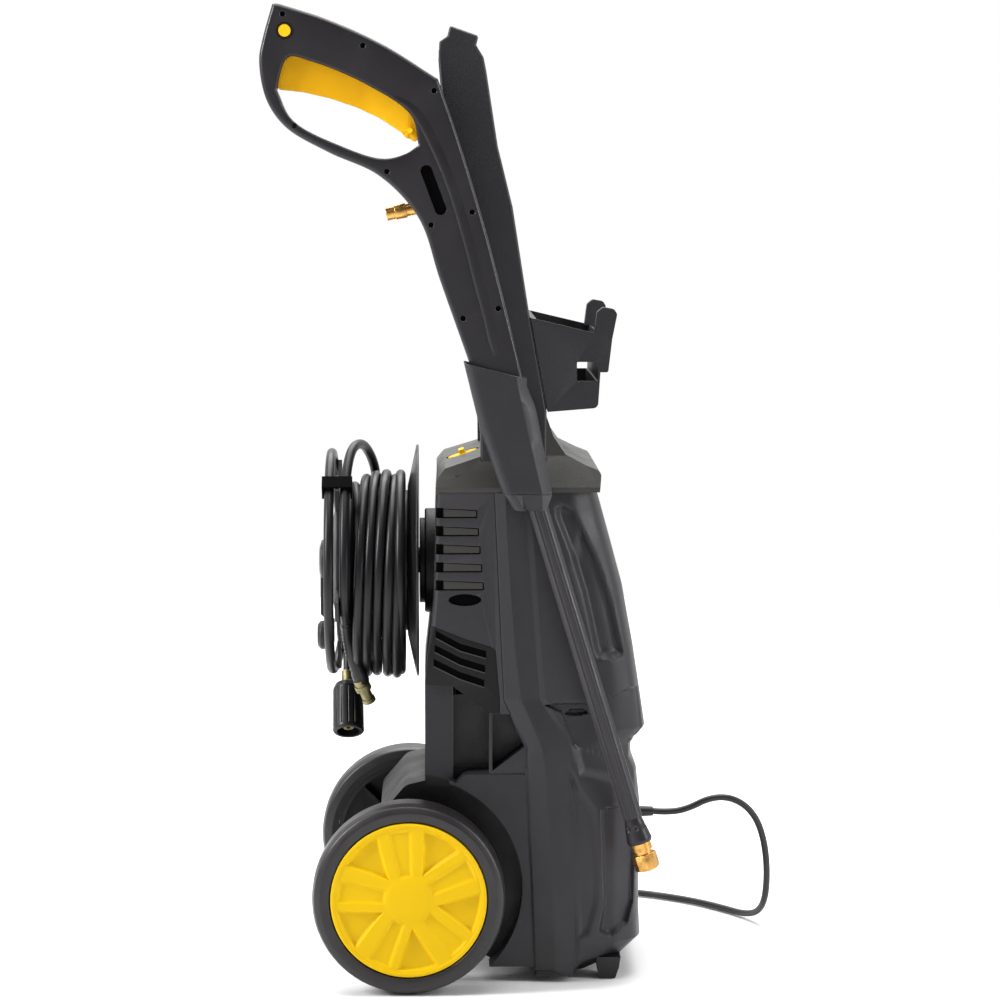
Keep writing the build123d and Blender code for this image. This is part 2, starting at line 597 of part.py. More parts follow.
NUT_TOP = Vector(42, 108, 252)
NUT_DOWN = Vector(-0.57, -0.02, -0.82).normalized()
PLUG_TOP = Vector(-45, 93, 266)
PLUG_DOWN = Vector(0.35, -0.36, -0.86).normalized()


def hose_nut():
    """Hand-tight union nut with ribs."""
    nut = turned([(0, 6.5), (0, 12, 2), (6, 14.5, 1), (50, 15, 2), (50, OUTLET_R), (29.5, OUTLET_R), (29.5, 6.5)],
                 NUT_TOP, NUT_DOWN)
    first = NUT_DOWN.cross(Vector(0, 1, 0)).normalized()
    second = NUT_DOWN.cross(first)
    for step in range(16):
        angle = math.radians(22.5 * step)
        spot = NUT_TOP + NUT_DOWN * 8 + (first * math.cos(angle) + second * math.sin(angle)) * 15.6
        nut -= rod(spot, NUT_DOWN, 38, 1.3)
    return nut


def hose_fittings():
    """Steel nipple inside the nut, and the brass plug on the hose's other end."""
    nipple = turned([(-13, 4.6), (-13, 6.2), (30, 6.2), (30, 8.6), (33.5, 8.6), (33.5, 4.9), (46, 4.9),
                     (46, 2), (-1, 2), (-1, 4.6)], NUT_TOP, NUT_DOWN)
    plug_end = turned([(-6, 4.6), (-6, 6.2), (0, 6.2), (0, 7.5), (6, 7.5), (6, 5.2), (16, 5.2), (16, 6.2),
                       (20, 6.2), (20, 4), (0, 4), (0, 4.6)], PLUG_TOP, PLUG_DOWN)
    return nipple, plug_end


# ---- power train and water path ------------------------------------------------------------------
def motor_stator():
    """Wound stator in its can, with an end bell that holds the upper bearing."""
    return turned([(4, 30.5), (4, 40), (0, 40), (0, 56), (160, 56, 4), (160, 17), (148, 17), (148, 30.5)],
                  (0, PUMP_Y, MOTOR_Z0), (0, 0, 1))


def motor_rotor():
    core = rod((0, PUMP_Y, MOTOR_Z0 + 20), (0, 0, 1), 120, 30)
    return core + rod((0, PUMP_Y, MOTOR_Z0 - 52), (0, 0, 1), 250, 8)


def motor_fan():
    hub = tube((0, PUMP_Y, MOTOR_Z1 + 10), (0, 0, 1), 16, 14, 8)
    for step in range(7):
        blade = Rot(0, 0, step * 360 / 7) * Pos(30, 0, 0) * Rot(30, 0, 0) * Box(38, 3, 14)
        hub += Pos(0, PUMP_Y, MOTOR_Z1 + 18) * blade
    return hub


def motor_bearings():
    lower = tube((0, PUMP_Y, MOTOR_Z0 - 12), (0, 0, 1), 8, 17, 8)
    upper = tube((0, PUMP_Y, MOTOR_Z1 - 12), (0, 0, 1), 10, 17, 8)
    return lower, upper


def swash_plate():
    body = rod((0, PUMP_Y, 164), (0, 0, 1), 34, 28)
    tilt = Pos(0, PUMP_Y, 164) * Rot(12, 0, 0) * Box(90, 90, 16)
    return body - tilt - rod((0, PUMP_Y, 160), (0, 0, 1), 60, 8)


def pump_block():
    head = block(-48, 48, PUMP_Y - 46, PUMP_Y + 34, 66, 124) + tube((0, PUMP_Y, 124), (0, 0, 1), 76, 44, 34)
    for x, y in PISTONS:
        head -= rod((x, y, 84), (0, 0, 1), 50, 8.2)
    for x in FITTING_X:
        head -= rod((x, PUMP_Y - 50, FITTING_Z), (0, 1, 0), 20, 10.5)
    return head


PISTONS = [(20 * math.cos(math.radians(a)), PUMP_Y + 20 * math.sin(math.radians(a))) for a in (90, 210, 330)]


def pump_pistons():
    return [rod((x, y, 100), (0, 0, 1), 44, 8) for x, y in PISTONS]


def piston_springs():
    return [tube((x, y, 126), (0, 0, 1), 14, 10.5, 8.4) for x, y in PISTONS]


def water_fitting(x, radius, bore):
    """Threaded stub in the nose bay, joined to the pump head by its pipe."""
    return turned([(0, bore), (0, radius, 0.8), (THREAD, radius), (THREAD, radius - 1.2), (23.6, radius - 1.2),
                   (23.6, radius + 4), (28, radius + 4), (28, 10), (69.4, 10), (69.4, bore)],
                  (x, -163.5, FITTING_Z), (0, 1, 0))


def capacitor():
    return rod((62, -4, 285), (0, 0, 1), 70, 14)


def switch_box():
    return Location(Plane(origin=SWITCH_AT, z_dir=SWITCH_UP)) * Pos(0, 0, -22) * Box(30, 30, 24)


def pressure_switch():
    return block(48, 72, PUMP_Y - 20, PUMP_Y + 20, 70, 118)


# ---- power cord ---------------------------------------------------------------------------------
def cord_gland():
    """Tapered strain relief in the nose."""
    return turned([(0, 0), (0, 4.6, 0.6), (22, 6), (28, 6), (28, 0)], (CORD_X, -188, CORD_Z), (0, 1, 0))


CORD_ROUTE = [
    (75, -188, 120.5), (75, -206, 119.2), (75, -224, 123.6), (75, -241.7, 132.8), (75, -259.6, 134.6),
    (75.2, -276.3, 127.8), (75.6, -289, 113.7), (76, -296.5, 93), (77.5, -300, 68.5), (82, -300.5, 44.5),
    (93, -299, 24), (112, -293.5, 10), (136, -283, 3.6), (161, -266.5, 3.35), (188, -245, 3.4),
    (213, -217, 3.35), (233, -185, 3.4), (247, -149, 3.35), (252, -111, 3.4),
]
COIL_AT = (203, -85)
COIL_IN, COIL_OUT, COIL_TALL = 20, 54, 26


def cord_radii(route):
    """Largest tangent arc at each corner: 0.45 of the shorter run over the tangent of half the turn."""
    radii = []
    for before, here, after in zip(route, route[1:], route[2:]):
        first, second = Vector(*here) - Vector(*before), Vector(*after) - Vector(*here)
        turn = math.radians(first.get_angle(second))
        radii.append(0.45 * min(first.length, second.length) / math.tan(turn / 2))
    return radii


def power_cord():
    radii = cord_radii(CORD_ROUTE)
    print("cord radii", [round(r) for r in radii])
    path = FilletPolyline(*CORD_ROUTE, radius=radii)
    section = Plane(origin=CORD_ROUTE[0], z_dir=(0, -20, -0.9)) * Circle(CORD_D / 2)
    cord = sweep(section, path=path)
    print("cord volume ratio", cord.volume / (path.length * math.pi * (CORD_D / 2) ** 2), path.length)
    return cord


def cord_coil():
    return tube((COIL_AT[0], COIL_AT[1], 0.2), (0, 0, 1), COIL_TALL, COIL_OUT, COIL_IN)


def plug():
    """Two-pin plug lying beside the coil."""
    body = turned([(0, 0), (0, 4), (22, 5.5), (24, 13, 3), (50, 16, 3), (54, 17.5, 1), (58, 17.5, 1), (58, 0)],
                  PLUG_AT, (0, 1, 0))
    for x in (-9.5, 9.5):
        body += rod((PLUG_AT[0] + x, PLUG_AT[1] + 57, PLUG_AT[2]), (0, 1, 0), 19, 2.4)
    return body


PLUG_AT = (253.7, -58, 17.7)


# ---- feet and fasteners --------------------------------------------------------------------------
def feet():
    foot = slab([(-124, 10), (-126, 0, 1.5), (-141, 0, 1.5), (-144.5, 10), (-146, 20), (-124, 20)], -104, -80)
    return both_sides(foot)


def seam_screws():
    """Screws that hold the chassis to the front casing, from the gussets."""
    return both_sides(rod((-98, -54.4, 201), (1, 0, 0), 14, 3.5))


# ---- assembly -----------------------------------------------------------------------------------
keep("rear_housing", rear_housing())
keep("louvre_panels", *louvre_panels())
keep("front_casing", front_casing())
keep("chassis", chassis())
keep("top_cover", top_cover())
keep("switch_knob", switch_knob())
keep("switch_box", switch_box())
keep("handle_posts", *handle_frame())
keep("handle_grip", handle_grip())
keep("accessory_tray", tray())
keep("gun_holster", holster())
shell_left, shell_right = gun_shells()
keep("gun_shell_left", shell_left)
keep("gun_shell_right", shell_right)
keep("gun_valve", gun_valve())
keep("gun_inlet", gun_inlet())
keep("gun_screws", *gun_screws())
keep("trigger", trigger())
keep("trigger_pin", rod((GUN_X - 15, TRIGGER_PIVOT[1], TRIGGER_PIVOT[2]), (1, 0, 0), 30, 2.5))
keep("lock_button", rod((GUN_X - GUN_HALF - 1, BUTTON_Y, BUTTON_Z), (1, 0, 0), 2 * GUN_HALF + 2, BUTTON_R))
keep("lance_tube", lance_tube())
keep("lance_sleeve", lance_sleeve())
keep("lance_flare", lance_flare())
keep("coupler_body", coupler_body())
keep("coupler_collar", coupler_collar())
for name, side in (("left", -1), ("right", 1)):
    tyre, rim, cover = wheel_parts(side)
    keep("tyre_" + name, tyre)
    keep("rim_" + name, rim)
    keep("wheel_cover_" + name, cover)
keep("axle", axle())
keep("axle_caps", *axle_caps())
keep("reel_bracket", reel_bracket())
keep("reel_drum", reel_drum())
keep("reel_inner_flange", reel_inner_flange())
keep("reel_outer_flange", reel_outer_flange())
keep("reel_crank", reel_cap())
keep("crank_knob", crank_knob())
keep("hose_coil", *hose_coil())
keep("hose_clip", hose_clip())
keep("hose_nut", hose_nut())
keep("hose_nipple", *hose_fittings())
keep("motor_stator", motor_stator())
keep("motor_rotor", motor_rotor())
keep("motor_fan", motor_fan())
keep("motor_bearings", *motor_bearings())
keep("swash_plate", swash_plate())
keep("pump_block", pump_block())
keep("pump_pistons", *pump_pistons())
keep("piston_springs", *piston_springs())
keep("water_inlet", water_fitting(FITTING_X[0], INLET_R, 8))
keep("pressure_outlet", water_fitting(FITTING_X[1], OUTLET_R, 7))
keep("capacitor", capacitor())
keep("pressure_switch", pressure_switch())
keep("cord_gland", cord_gland())
keep("power_cord", power_cord())
keep("cord_coil", cord_coil())
keep("plug", plug())
keep("feet", *feet())
keep("seam_screws", *seam_screws())

os.makedirs("parts", exist_ok=True)
for name, shape in MADE.items():
    export_step(shape, "parts/" + name + ".step")
print(len(MADE), "nodes")
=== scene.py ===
import json
import math

import bmesh
import bpy
import numpy as np
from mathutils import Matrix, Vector

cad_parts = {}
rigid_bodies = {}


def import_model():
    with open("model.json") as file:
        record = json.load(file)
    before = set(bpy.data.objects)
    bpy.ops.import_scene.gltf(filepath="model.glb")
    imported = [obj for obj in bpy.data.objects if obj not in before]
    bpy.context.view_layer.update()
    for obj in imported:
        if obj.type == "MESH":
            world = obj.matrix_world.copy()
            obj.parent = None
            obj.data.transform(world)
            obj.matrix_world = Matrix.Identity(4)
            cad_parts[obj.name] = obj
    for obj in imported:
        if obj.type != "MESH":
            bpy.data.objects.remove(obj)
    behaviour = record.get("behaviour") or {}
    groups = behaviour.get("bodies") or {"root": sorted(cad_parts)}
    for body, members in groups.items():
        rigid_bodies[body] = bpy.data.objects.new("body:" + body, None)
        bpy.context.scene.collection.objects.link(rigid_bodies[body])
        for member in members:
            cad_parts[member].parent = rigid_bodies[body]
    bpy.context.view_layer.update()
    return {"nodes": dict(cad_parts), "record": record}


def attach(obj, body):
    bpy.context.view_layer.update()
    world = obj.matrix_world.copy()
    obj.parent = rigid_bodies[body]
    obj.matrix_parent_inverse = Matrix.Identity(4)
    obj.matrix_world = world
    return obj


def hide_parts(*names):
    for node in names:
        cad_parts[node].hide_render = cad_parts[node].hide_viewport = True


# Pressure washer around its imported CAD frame. Metres, +Z up, reel and wheels at +Y, gun on the -X side.
# Helper shapes are written in millimetres and scaled by MM.

MM = 0.001

for leftover in list(bpy.data.objects):
    bpy.data.objects.remove(leftover)

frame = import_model()
NODES = frame["nodes"]


# ---- materials ----
def new_material(name):
    """A material with its node tree and its Principled BSDF."""
    mat = bpy.data.materials.new(name)
    mat.use_nodes = True
    return mat, mat.node_tree, mat.node_tree.nodes["Principled BSDF"]


def feed(tree, socket, value):
    """Link an output to a socket, or set the socket to a plain value."""
    if isinstance(value, bpy.types.NodeSocket):
        tree.links.new(value, socket)
    else:
        socket.default_value = value


def noise(tree, place, scale, detail, roughness=0.5):
    """Noise between 0 and 1, read at a place."""
    node = tree.nodes.new("ShaderNodeTexNoise")
    node.inputs["Scale"].default_value = scale
    node.inputs["Detail"].default_value = detail
    node.inputs["Roughness"].default_value = roughness
    tree.links.new(place, node.inputs["Vector"])
    return node.outputs["Fac"]


def ramp(tree, source, low, high, at_low=0.0, at_high=1.0, smooth=False):
    """Value that runs from at_low to at_high while the source runs from low to high."""
    node = tree.nodes.new("ShaderNodeMapRange")
    if smooth:
        node.interpolation_type = "SMOOTHSTEP"
    for socket, value in (("From Min", low), ("From Max", high), ("To Min", at_low), ("To Max", at_high)):
        node.inputs[socket].default_value = value
    tree.links.new(source, node.inputs["Value"])
    return node.outputs["Result"]


def mixed(tree, share, first, second):
    """Colour between two colours, each a plain colour or an output; share runs from 0 to 1."""
    node = tree.nodes.new("ShaderNodeMix")
    node.data_type = "RGBA"
    feed(tree, node.inputs["A"], first)
    feed(tree, node.inputs["B"], second)
    tree.links.new(share, node.inputs["Factor"])
    return node.outputs["Result"]


def relief(tree, shader, height, strength, distance):
    """Bump on a shader."""
    node = tree.nodes.new("ShaderNodeBump")
    node.inputs["Strength"].default_value = strength
    node.inputs["Distance"].default_value = distance
    tree.links.new(height, node.inputs["Height"])
    tree.links.new(node.outputs["Normal"], shader.inputs["Normal"])


def scaled(colour, factor, lift=0.0):
    """Opaque colour made lighter or darker, kept within 1."""
    return (*[min(1.0, c * factor + lift) for c in colour], 1)


def moulded(name, colour, rough=0.42, grain=0.0009, bump=0.25, mottle=0.18, shine=0.5, arch_shade=None):
    """Moulded plastic or rubber: fine grain, cloudy colour and gloss, lighter wear on edges.

    The last argument gives (y, z, radius) of a cylinder along X inside which the colour is darkened as
    painted shade of the wheel arches."""
    mat, tree, shader = new_material(name)
    shader.inputs["Specular IOR Level"].default_value = shine
    place = tree.nodes.new("ShaderNodeTexCoord").outputs["Object"]

    clouds = noise(tree, place, 14.0, 5.0, 0.6)
    tint = mixed(tree, clouds, scaled(colour, 1 - mottle), scaled(colour, 1 + mottle))
    edges = tree.nodes.new("ShaderNodeNewGeometry").outputs["Pointiness"]
    surface = mixed(tree, ramp(tree, edges, 0.52, 0.62), tint, scaled(colour, 1.5, 0.004))
    # painted shade: inside the wheel-arch cylinder the colour drops to 0.12 of itself
    if arch_shade:
        y, z, radius = arch_shade
        flat = tree.nodes.new("ShaderNodeVectorMath")
        flat.operation = "MULTIPLY"
        flat.inputs[1].default_value = (0, 1, 1)
        tree.links.new(place, flat.inputs[0])
        reach = tree.nodes.new("ShaderNodeVectorMath")
        reach.operation = "DISTANCE"
        reach.inputs[1].default_value = (0, y * MM, z * MM)
        tree.links.new(flat.outputs["Vector"], reach.inputs[0])
        unshaded = ramp(tree, reach.outputs["Value"], (radius - 0.5) * MM, (radius + 0.7) * MM)
        surface = mixed(tree, unshaded, scaled(colour, 0.12), surface)
    tree.links.new(surface, shader.inputs["Base Color"])

    smudge = noise(tree, place, 38.0, 4.0)
    gloss = ramp(tree, smudge, 0.3, 0.7, rough - 0.06, rough + 0.08)
    tree.links.new(gloss, shader.inputs["Roughness"])

    pebbles = tree.nodes.new("ShaderNodeTexVoronoi")
    pebbles.feature = "SMOOTH_F1"
    pebbles.inputs["Scale"].default_value = 1.0 / grain
    tree.links.new(place, pebbles.inputs["Vector"])
    both = tree.nodes.new("ShaderNodeMath")
    both.operation = "ADD"
    tree.links.new(pebbles.outputs["Distance"], both.inputs[0])
    tree.links.new(noise(tree, place, 0.5 / grain, 3.0), both.inputs[1])
    relief(tree, shader, both.outputs["Value"], bump, grain * 0.35)
    return mat


def metal(name, colour, rough=0.28, dark=0.6):
    """Machined metal: turning marks, tarnish in patches."""
    mat, tree, shader = new_material(name)
    shader.inputs["Metallic"].default_value = 1.0
    place = tree.nodes.new("ShaderNodeTexCoord").outputs["Object"]
    patch = noise(tree, place, 120.0, 6.0)
    tint = mixed(tree, ramp(tree, patch, 0.32, 0.55), scaled(colour, dark), (*colour, 1))
    tree.links.new(tint, shader.inputs["Base Color"])
    gloss = ramp(tree, patch, 0.0, 1.0, rough + 0.16, rough - 0.04)
    tree.links.new(gloss, shader.inputs["Roughness"])
    marks = tree.nodes.new("ShaderNodeTexWave")
    marks.inputs["Scale"].default_value = 900.0
    marks.inputs["Distortion"].default_value = 1.5
    tree.links.new(place, marks.inputs["Vector"])
    relief(tree, shader, marks.outputs["Fac"], 0.12, 0.0002)
    return mat


BLACK = (0.019, 0.0175, 0.0205)
CHARCOAL = moulded("charcoal_plastic_look", BLACK, rough=0.42, bump=0.3, shine=0.34)
# chassis plastic with painted shade in its wheel arches
CHASSIS_ARCH_SHADE_LOOK = moulded("chassis_arch_shade_look", BLACK, rough=0.44, bump=0.3, shine=0.3,
                       arch_shade=(49, 87.5, 104.3))
GUN_BLACK = moulded("gun_plastic_look", (0.0125, 0.011, 0.0138), rough=0.34, grain=0.0007, bump=0.22,
                    shine=0.36)
SMOOTH_BLACK = moulded("smooth_black_look", (0.009, 0.0085, 0.0095), rough=0.33, grain=0.0006, bump=0.1,
                       shine=0.35)
PANEL_BLACK = moulded("louvre_panel_look", (0.0075, 0.007, 0.008), rough=0.5, bump=0.25, shine=0.18)
GREY = moulded("grey_plastic_look", (0.034, 0.033, 0.029), rough=0.42, bump=0.25, shine=0.4)
YELLOW = moulded("yellow_plastic_look", (0.70, 0.44, 0.0004), rough=0.5, grain=0.0012, bump=0.06,
                 mottle=0.04, shine=0.15)
AMBER = moulded("amber_plastic_look", (0.70, 0.35, 0.0005), rough=0.45, grain=0.0012, bump=0.06,
                mottle=0.05, shine=0.2)
TYRE = moulded("tyre_look", (0.017, 0.015, 0.0165), rough=0.36, grain=0.0008, bump=0.12, mottle=0.2,
               shine=0.4)
RUBBER = moulded("hose_rubber_look", (0.0065, 0.0063, 0.0075), rough=0.36, grain=0.0005, bump=0.06,
                 shine=0.32)
CORD_SKIN = moulded("cord_skin_look", (0.006, 0.006, 0.0065), rough=0.42, grain=0.0004, bump=0.08)
# near-black that stands for shade: painted shade in the gaps, slots and wells of housing and gun and on the
# gun's screw heads; also worn by the hose clip
BLACK_AND_SHADE = moulded("black_and_shade_look", (0.0012, 0.0012, 0.0013), rough=0.8, bump=0.1, shine=0.04)
VARNISH = moulded("winding_look", (0.32, 0.11, 0.03), rough=0.35, grain=0.0008, bump=0.5, mottle=0.3)
STEEL = metal("steel_look", (0.56, 0.56, 0.58))
BRASS = metal("brass_look", (0.72, 0.39, 0.11), rough=0.22, dark=0.45)
DULL_METAL = metal("dull_metal_look", (0.30, 0.27, 0.14), rough=0.4)
ALLOY = metal("pump_alloy_look", (0.55, 0.56, 0.57), rough=0.45)

LOOKS = {"charcoal_plastic": CHARCOAL, "grey_plastic": GREY, "yellow_plastic": YELLOW, "tyre_plastic": TYRE,
         "steel": STEEL, "winding": VARNISH, "brass": BRASS, "hose_rubber": RUBBER, "pump_alloy": ALLOY}
SLOT_OF = {row["node"]: row["material_slot"] for row in frame["record"]["subparts"]}
# nodes that do not wear the plain look of their slot
OTHER_LOOK = {
    "chassis": CHASSIS_ARCH_SHADE_LOOK, "trigger": AMBER, "lock_button": AMBER, "trigger_pin": AMBER,
    "gun_shell_left": GUN_BLACK, "gun_shell_right": GUN_BLACK, "gun_holster": GUN_BLACK,
    "lance_sleeve": GUN_BLACK, "lance_flare": GUN_BLACK, "hose_nut": SMOOTH_BLACK,
    "reel_inner_flange": SMOOTH_BLACK, "rim_left": SMOOTH_BLACK, "rim_right": SMOOTH_BLACK,
    # on the gun screws the near-black is painted shade of their wells
    "seam_screws": SMOOTH_BLACK, "louvre_panels": PANEL_BLACK, "gun_screws": BLACK_AND_SHADE,
    "hose_clip": BLACK_AND_SHADE, "hose_nipple": DULL_METAL, "cord_gland": CORD_SKIN,
    "power_cord": CORD_SKIN, "cord_coil": CORD_SKIN, "plug": CORD_SKIN,
}


# ---- smoothing of the carried-over CAD meshes ----
SHARP = math.radians(32)


def welding_nodes():
    """Node group: merge coincident corners, drop imported normals, smooth all but sharp edges."""
    group = bpy.data.node_groups.new("weld_and_smooth", "GeometryNodeTree")
    group.interface.new_socket("Geometry", in_out="INPUT", socket_type="NodeSocketGeometry")
    group.interface.new_socket("Geometry", in_out="OUTPUT", socket_type="NodeSocketGeometry")
    new, link = group.nodes.new, group.links.new
    start, end = new("NodeGroupInput"), new("NodeGroupOutput")
    weld = new("GeometryNodeMergeByDistance")
    weld.inputs["Distance"].default_value = 0.00001
    drop = new("GeometryNodeRemoveAttribute")
    drop.inputs["Name"].default_value = "custom_normal"
    faces = new("GeometryNodeSetShadeSmooth")
    faces.domain = "FACE"
    edges = new("GeometryNodeSetShadeSmooth")
    edges.domain = "EDGE"
    angle = new("GeometryNodeInputMeshEdgeAngle")
    below = new("FunctionNodeCompare")
    below.data_type = "FLOAT"
    below.operation = "LESS_THAN"
    below.inputs["B"].default_value = SHARP
    link(start.outputs[0], weld.inputs["Geometry"])
    link(weld.outputs["Geometry"], drop.inputs["Geometry"])
    link(drop.outputs["Geometry"], faces.inputs["Geometry"])
    link(faces.outputs["Geometry"], edges.inputs["Geometry"])
    link(angle.outputs["Unsigned Angle"], below.inputs["A"])
    link(below.outputs["Result"], edges.inputs["Shade Smooth"])
    link(edges.outputs["Geometry"], end.inputs[0])
    return group


WELD = welding_nodes()
# widths of the small roundings on moulded edges, in mm
ROUNDING = {
    "handle_posts": 0.8, "handle_grip": 1.5, "accessory_tray": 1.0, "gun_holster": 1.0, "top_cover": 1.6,
    "rear_housing": 0.8, "front_casing": 1.6, "chassis": 1.2, "louvre_panels": 0.7, "trigger": 1.6,
    "feet": 1.2, "switch_knob": 0.6, "reel_crank": 1.0, "hose_clip": 0.5, "coupler_collar": 0.5,
    "lance_flare": 0.4, "reel_outer_flange": 0.7,
}


def round_edges(obj, width, angle):
    """Round every edge sharper than an angle, by a width in mm."""
    bevel = obj.modifiers.new("rounding", "BEVEL")
    bevel.width = width * MM
    bevel.segments = 3
    bevel.limit_method = "ANGLE"
    bevel.angle_limit = angle
    bevel.harden_normals = True
    bevel.use_clamp_overlap = True


def dress(name, look, rounding=0.0):
    """Material, welded shading and, where edges are moulded, a small rounding on a CAD node."""
    node = NODES[name]
    node.data.materials.clear()
    node.data.materials.append(look)
    weld = node.modifiers.new("weld", "NODES")
    weld.node_group = WELD
    if rounding:
        round_edges(node, rounding, SHARP)


for name in NODES:
    dress(name, OTHER_LOOK.get(name, LOOKS[SLOT_OF[name]]), ROUNDING.get(name, 0.0))


# ---- mesh helpers ----
def linked(name, data):
    """New object in the scene."""
    obj = bpy.data.objects.new(name, data)
    bpy.context.scene.collection.objects.link(obj)
    return obj


def piece(name, verts, faces, look, body, smooth_angle=35):
    """Mesh object from millimetre points, shaded smooth below an angle, riding on a body."""
    mesh = bpy.data.meshes.new(name)
    mesh.from_pydata([tuple(c * MM for c in v) for v in verts], [], faces)
    cleaner = bmesh.new()
    cleaner.from_mesh(mesh)
    bmesh.ops.remove_doubles(cleaner, verts=cleaner.verts, dist=0.00001)
    bmesh.ops.recalc_face_normals(cleaner, faces=cleaner.faces)
    cleaner.to_mesh(mesh)
    cleaner.free()
    for poly in mesh.polygons:
        poly.use_smooth = True
    mesh.set_sharp_from_angle(angle=math.radians(smooth_angle))
    mesh.materials.append(look)
    obj = linked(name, mesh)
    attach(obj, body)
    return obj


def grid_faces(rows, columns, closed=False):
    """Quads of a grid of points, row by row."""
    faces = []
    for i in range(rows - 1):
        for j in range(columns if closed else columns - 1):
            k = (j + 1) % columns
            faces.append((i * columns + j, i * columns + k, (i + 1) * columns + k, (i + 1) * columns + j))
    return faces


def smoothstep(x):
    x = np.clip(x, 0.0, 1.0)
    return x * x * (3 - 2 * x)


def inside_distance(px, py, outline):
    """Signed distance to a closed outline, positive inside; px and py are arrays."""
    best = np.full(px.shape, 1e9)
    inside = np.zeros(px.shape, bool)
    for (ax, ay), (bx, by) in zip(outline, outline[1:] + outline[:1]):
        ex, ey = bx - ax, by - ay
        t = np.clip(((px - ax) * ex + (py - ay) * ey) / (ex * ex + ey * ey), 0, 1)
        best = np.minimum(best, np.hypot(px - ax - t * ex, py - ay - t * ey))
        if ay != by:
            inside ^= ((ay > py) != (by > py)) & (px < ex * (py - ay) / ey + ax)
    return np.where(inside, best, -best)


# ---- cords ----
def cord_curve(name, points, diameter, look, body):
    """One open NURBS spline through control points in millimetres."""
    curve = bpy.data.curves.new(name, "CURVE")
    curve.dimensions = "3D"
    spline = curve.splines.new("NURBS")
    spline.points.add(len(points) - 1)
    for point, place in zip(spline.points, points):
        point.co = (*[c * MM for c in place], 1)
        point.radius = diameter * MM / 2
    spline.order_u = 3
    spline.use_endpoint_u = True
    curve.resolution_u = 8
    curve.bevel_depth = 1.0
    curve.bevel_resolution = 5
    curve.use_fill_caps = True
    curve.materials.append(look)
    obj = linked(name, curve)
    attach(obj, body)
    return obj


CORD_D = 6.5
CORD_ROUTE = [
    (75, -188, 120.5), (75, -206, 119.2), (75, -224, 123.6), (75, -241.7, 132.8), (75, -259.6, 134.6),
    (75.2, -276.3, 127.8), (75.6, -289, 113.7), (76, -296.5, 93), (77.5, -300, 68.5), (82, -300.5, 44.5),
    (93, -299, 24), (112, -293.5, 10), (136, -283, 3.6), (161, -266.5, 3.35), (188, -245, 3.4),
    (213, -217, 3.35), (233, -185, 3.4), (247, -149, 3.35),
]
CORD_END = [(253.4, -92, 22.6), (253.9, -82, 20.5), (253.7, -70, 18.4), (253.7, -62, 17.8),
            (253.7, -50, 17.7)]
COIL_AT = (203, -85)
COIL_RADII = (50.6, 43.8, 37.0, 30.2, 23.4)
COIL_LAYERS = 4
LAYER_PITCH = 6.7
LOWEST_LAYER = 3.45
TURN_POINTS = 14
# share of a turn after which the cord crosses over to the next turn
CROSSING = 0.8


def coil_points():
    """Four flat layers of five turns, wound inwards and outwards in turn, from the floor up."""
    points = []
    lean = math.radians(-20)
    last_turn = len(COIL_RADII) - 1
    for layer in range(COIL_LAYERS):
        radii = COIL_RADII if layer % 2 == 0 else COIL_RADII[::-1]
        height = LOWEST_LAYER + LAYER_PITCH * layer
        for turn, radius in enumerate(radii):
            for step in range(TURN_POINTS):
                share = step / TURN_POINTS
                here, rise = radius, height
                blend = max(0.0, (share - CROSSING) / 0.2)
                if turn < last_turn:
                    here += (radii[turn + 1] - radius) * blend
                elif layer < COIL_LAYERS - 1:
                    rise += LAYER_PITCH * blend
                angle = lean + 2 * math.pi * share
                # the spline runs a little inside its control points
                swell = here / math.cos(math.pi / TURN_POINTS) ** 0.5
                points.append((COIL_AT[0] + swell * math.cos(angle),
                               COIL_AT[1] + swell * math.sin(angle), rise))
    return points


cord_points = CORD_ROUTE + coil_points() + CORD_END
power_cord = cord_curve("power_cord_line", cord_points, CORD_D, CORD_SKIN, "machine")
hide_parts("power_cord", "cord_coil")


def bare_line(obj):
    """Length of a cord's own spline in metres, and its points without the thickness."""
    obj.data.bevel_depth = 0
    bpy.context.view_layer.update()
    pts = [v.co for v in bpy.data.meshes.new_from_object(obj).vertices]
    obj.data.bevel_depth = 1.0
    return sum((b - a).length for a, b in zip(pts, pts[1:])), [tuple(p) for p in pts]


cord_length, _ = bare_line(power_cord)

# ---- hose ----
HOSE_D = 9.0
REEL_Z = 377.0
# the loose outer layer hangs this far below the middle of the reel
SAG = 13.0
HOSE_STEPS = 15
HOSE_TURNS = 6
# where the winding starts, in degrees, and the Y of the hose at the start of each turn
WIND_START = 142
OUTER_Y = [96.5, 88, 79, 69, 60.5, 56.5, 56.5]
INNER_Y = [56.6, 66.0, 75.4, 84.8, 94.2, 103.6, 107.4]
FIRST_Y = 82
OUTER_RADIUS, INNER_RADIUS, DOWN_RADIUS = 94.5, 71.5, 90
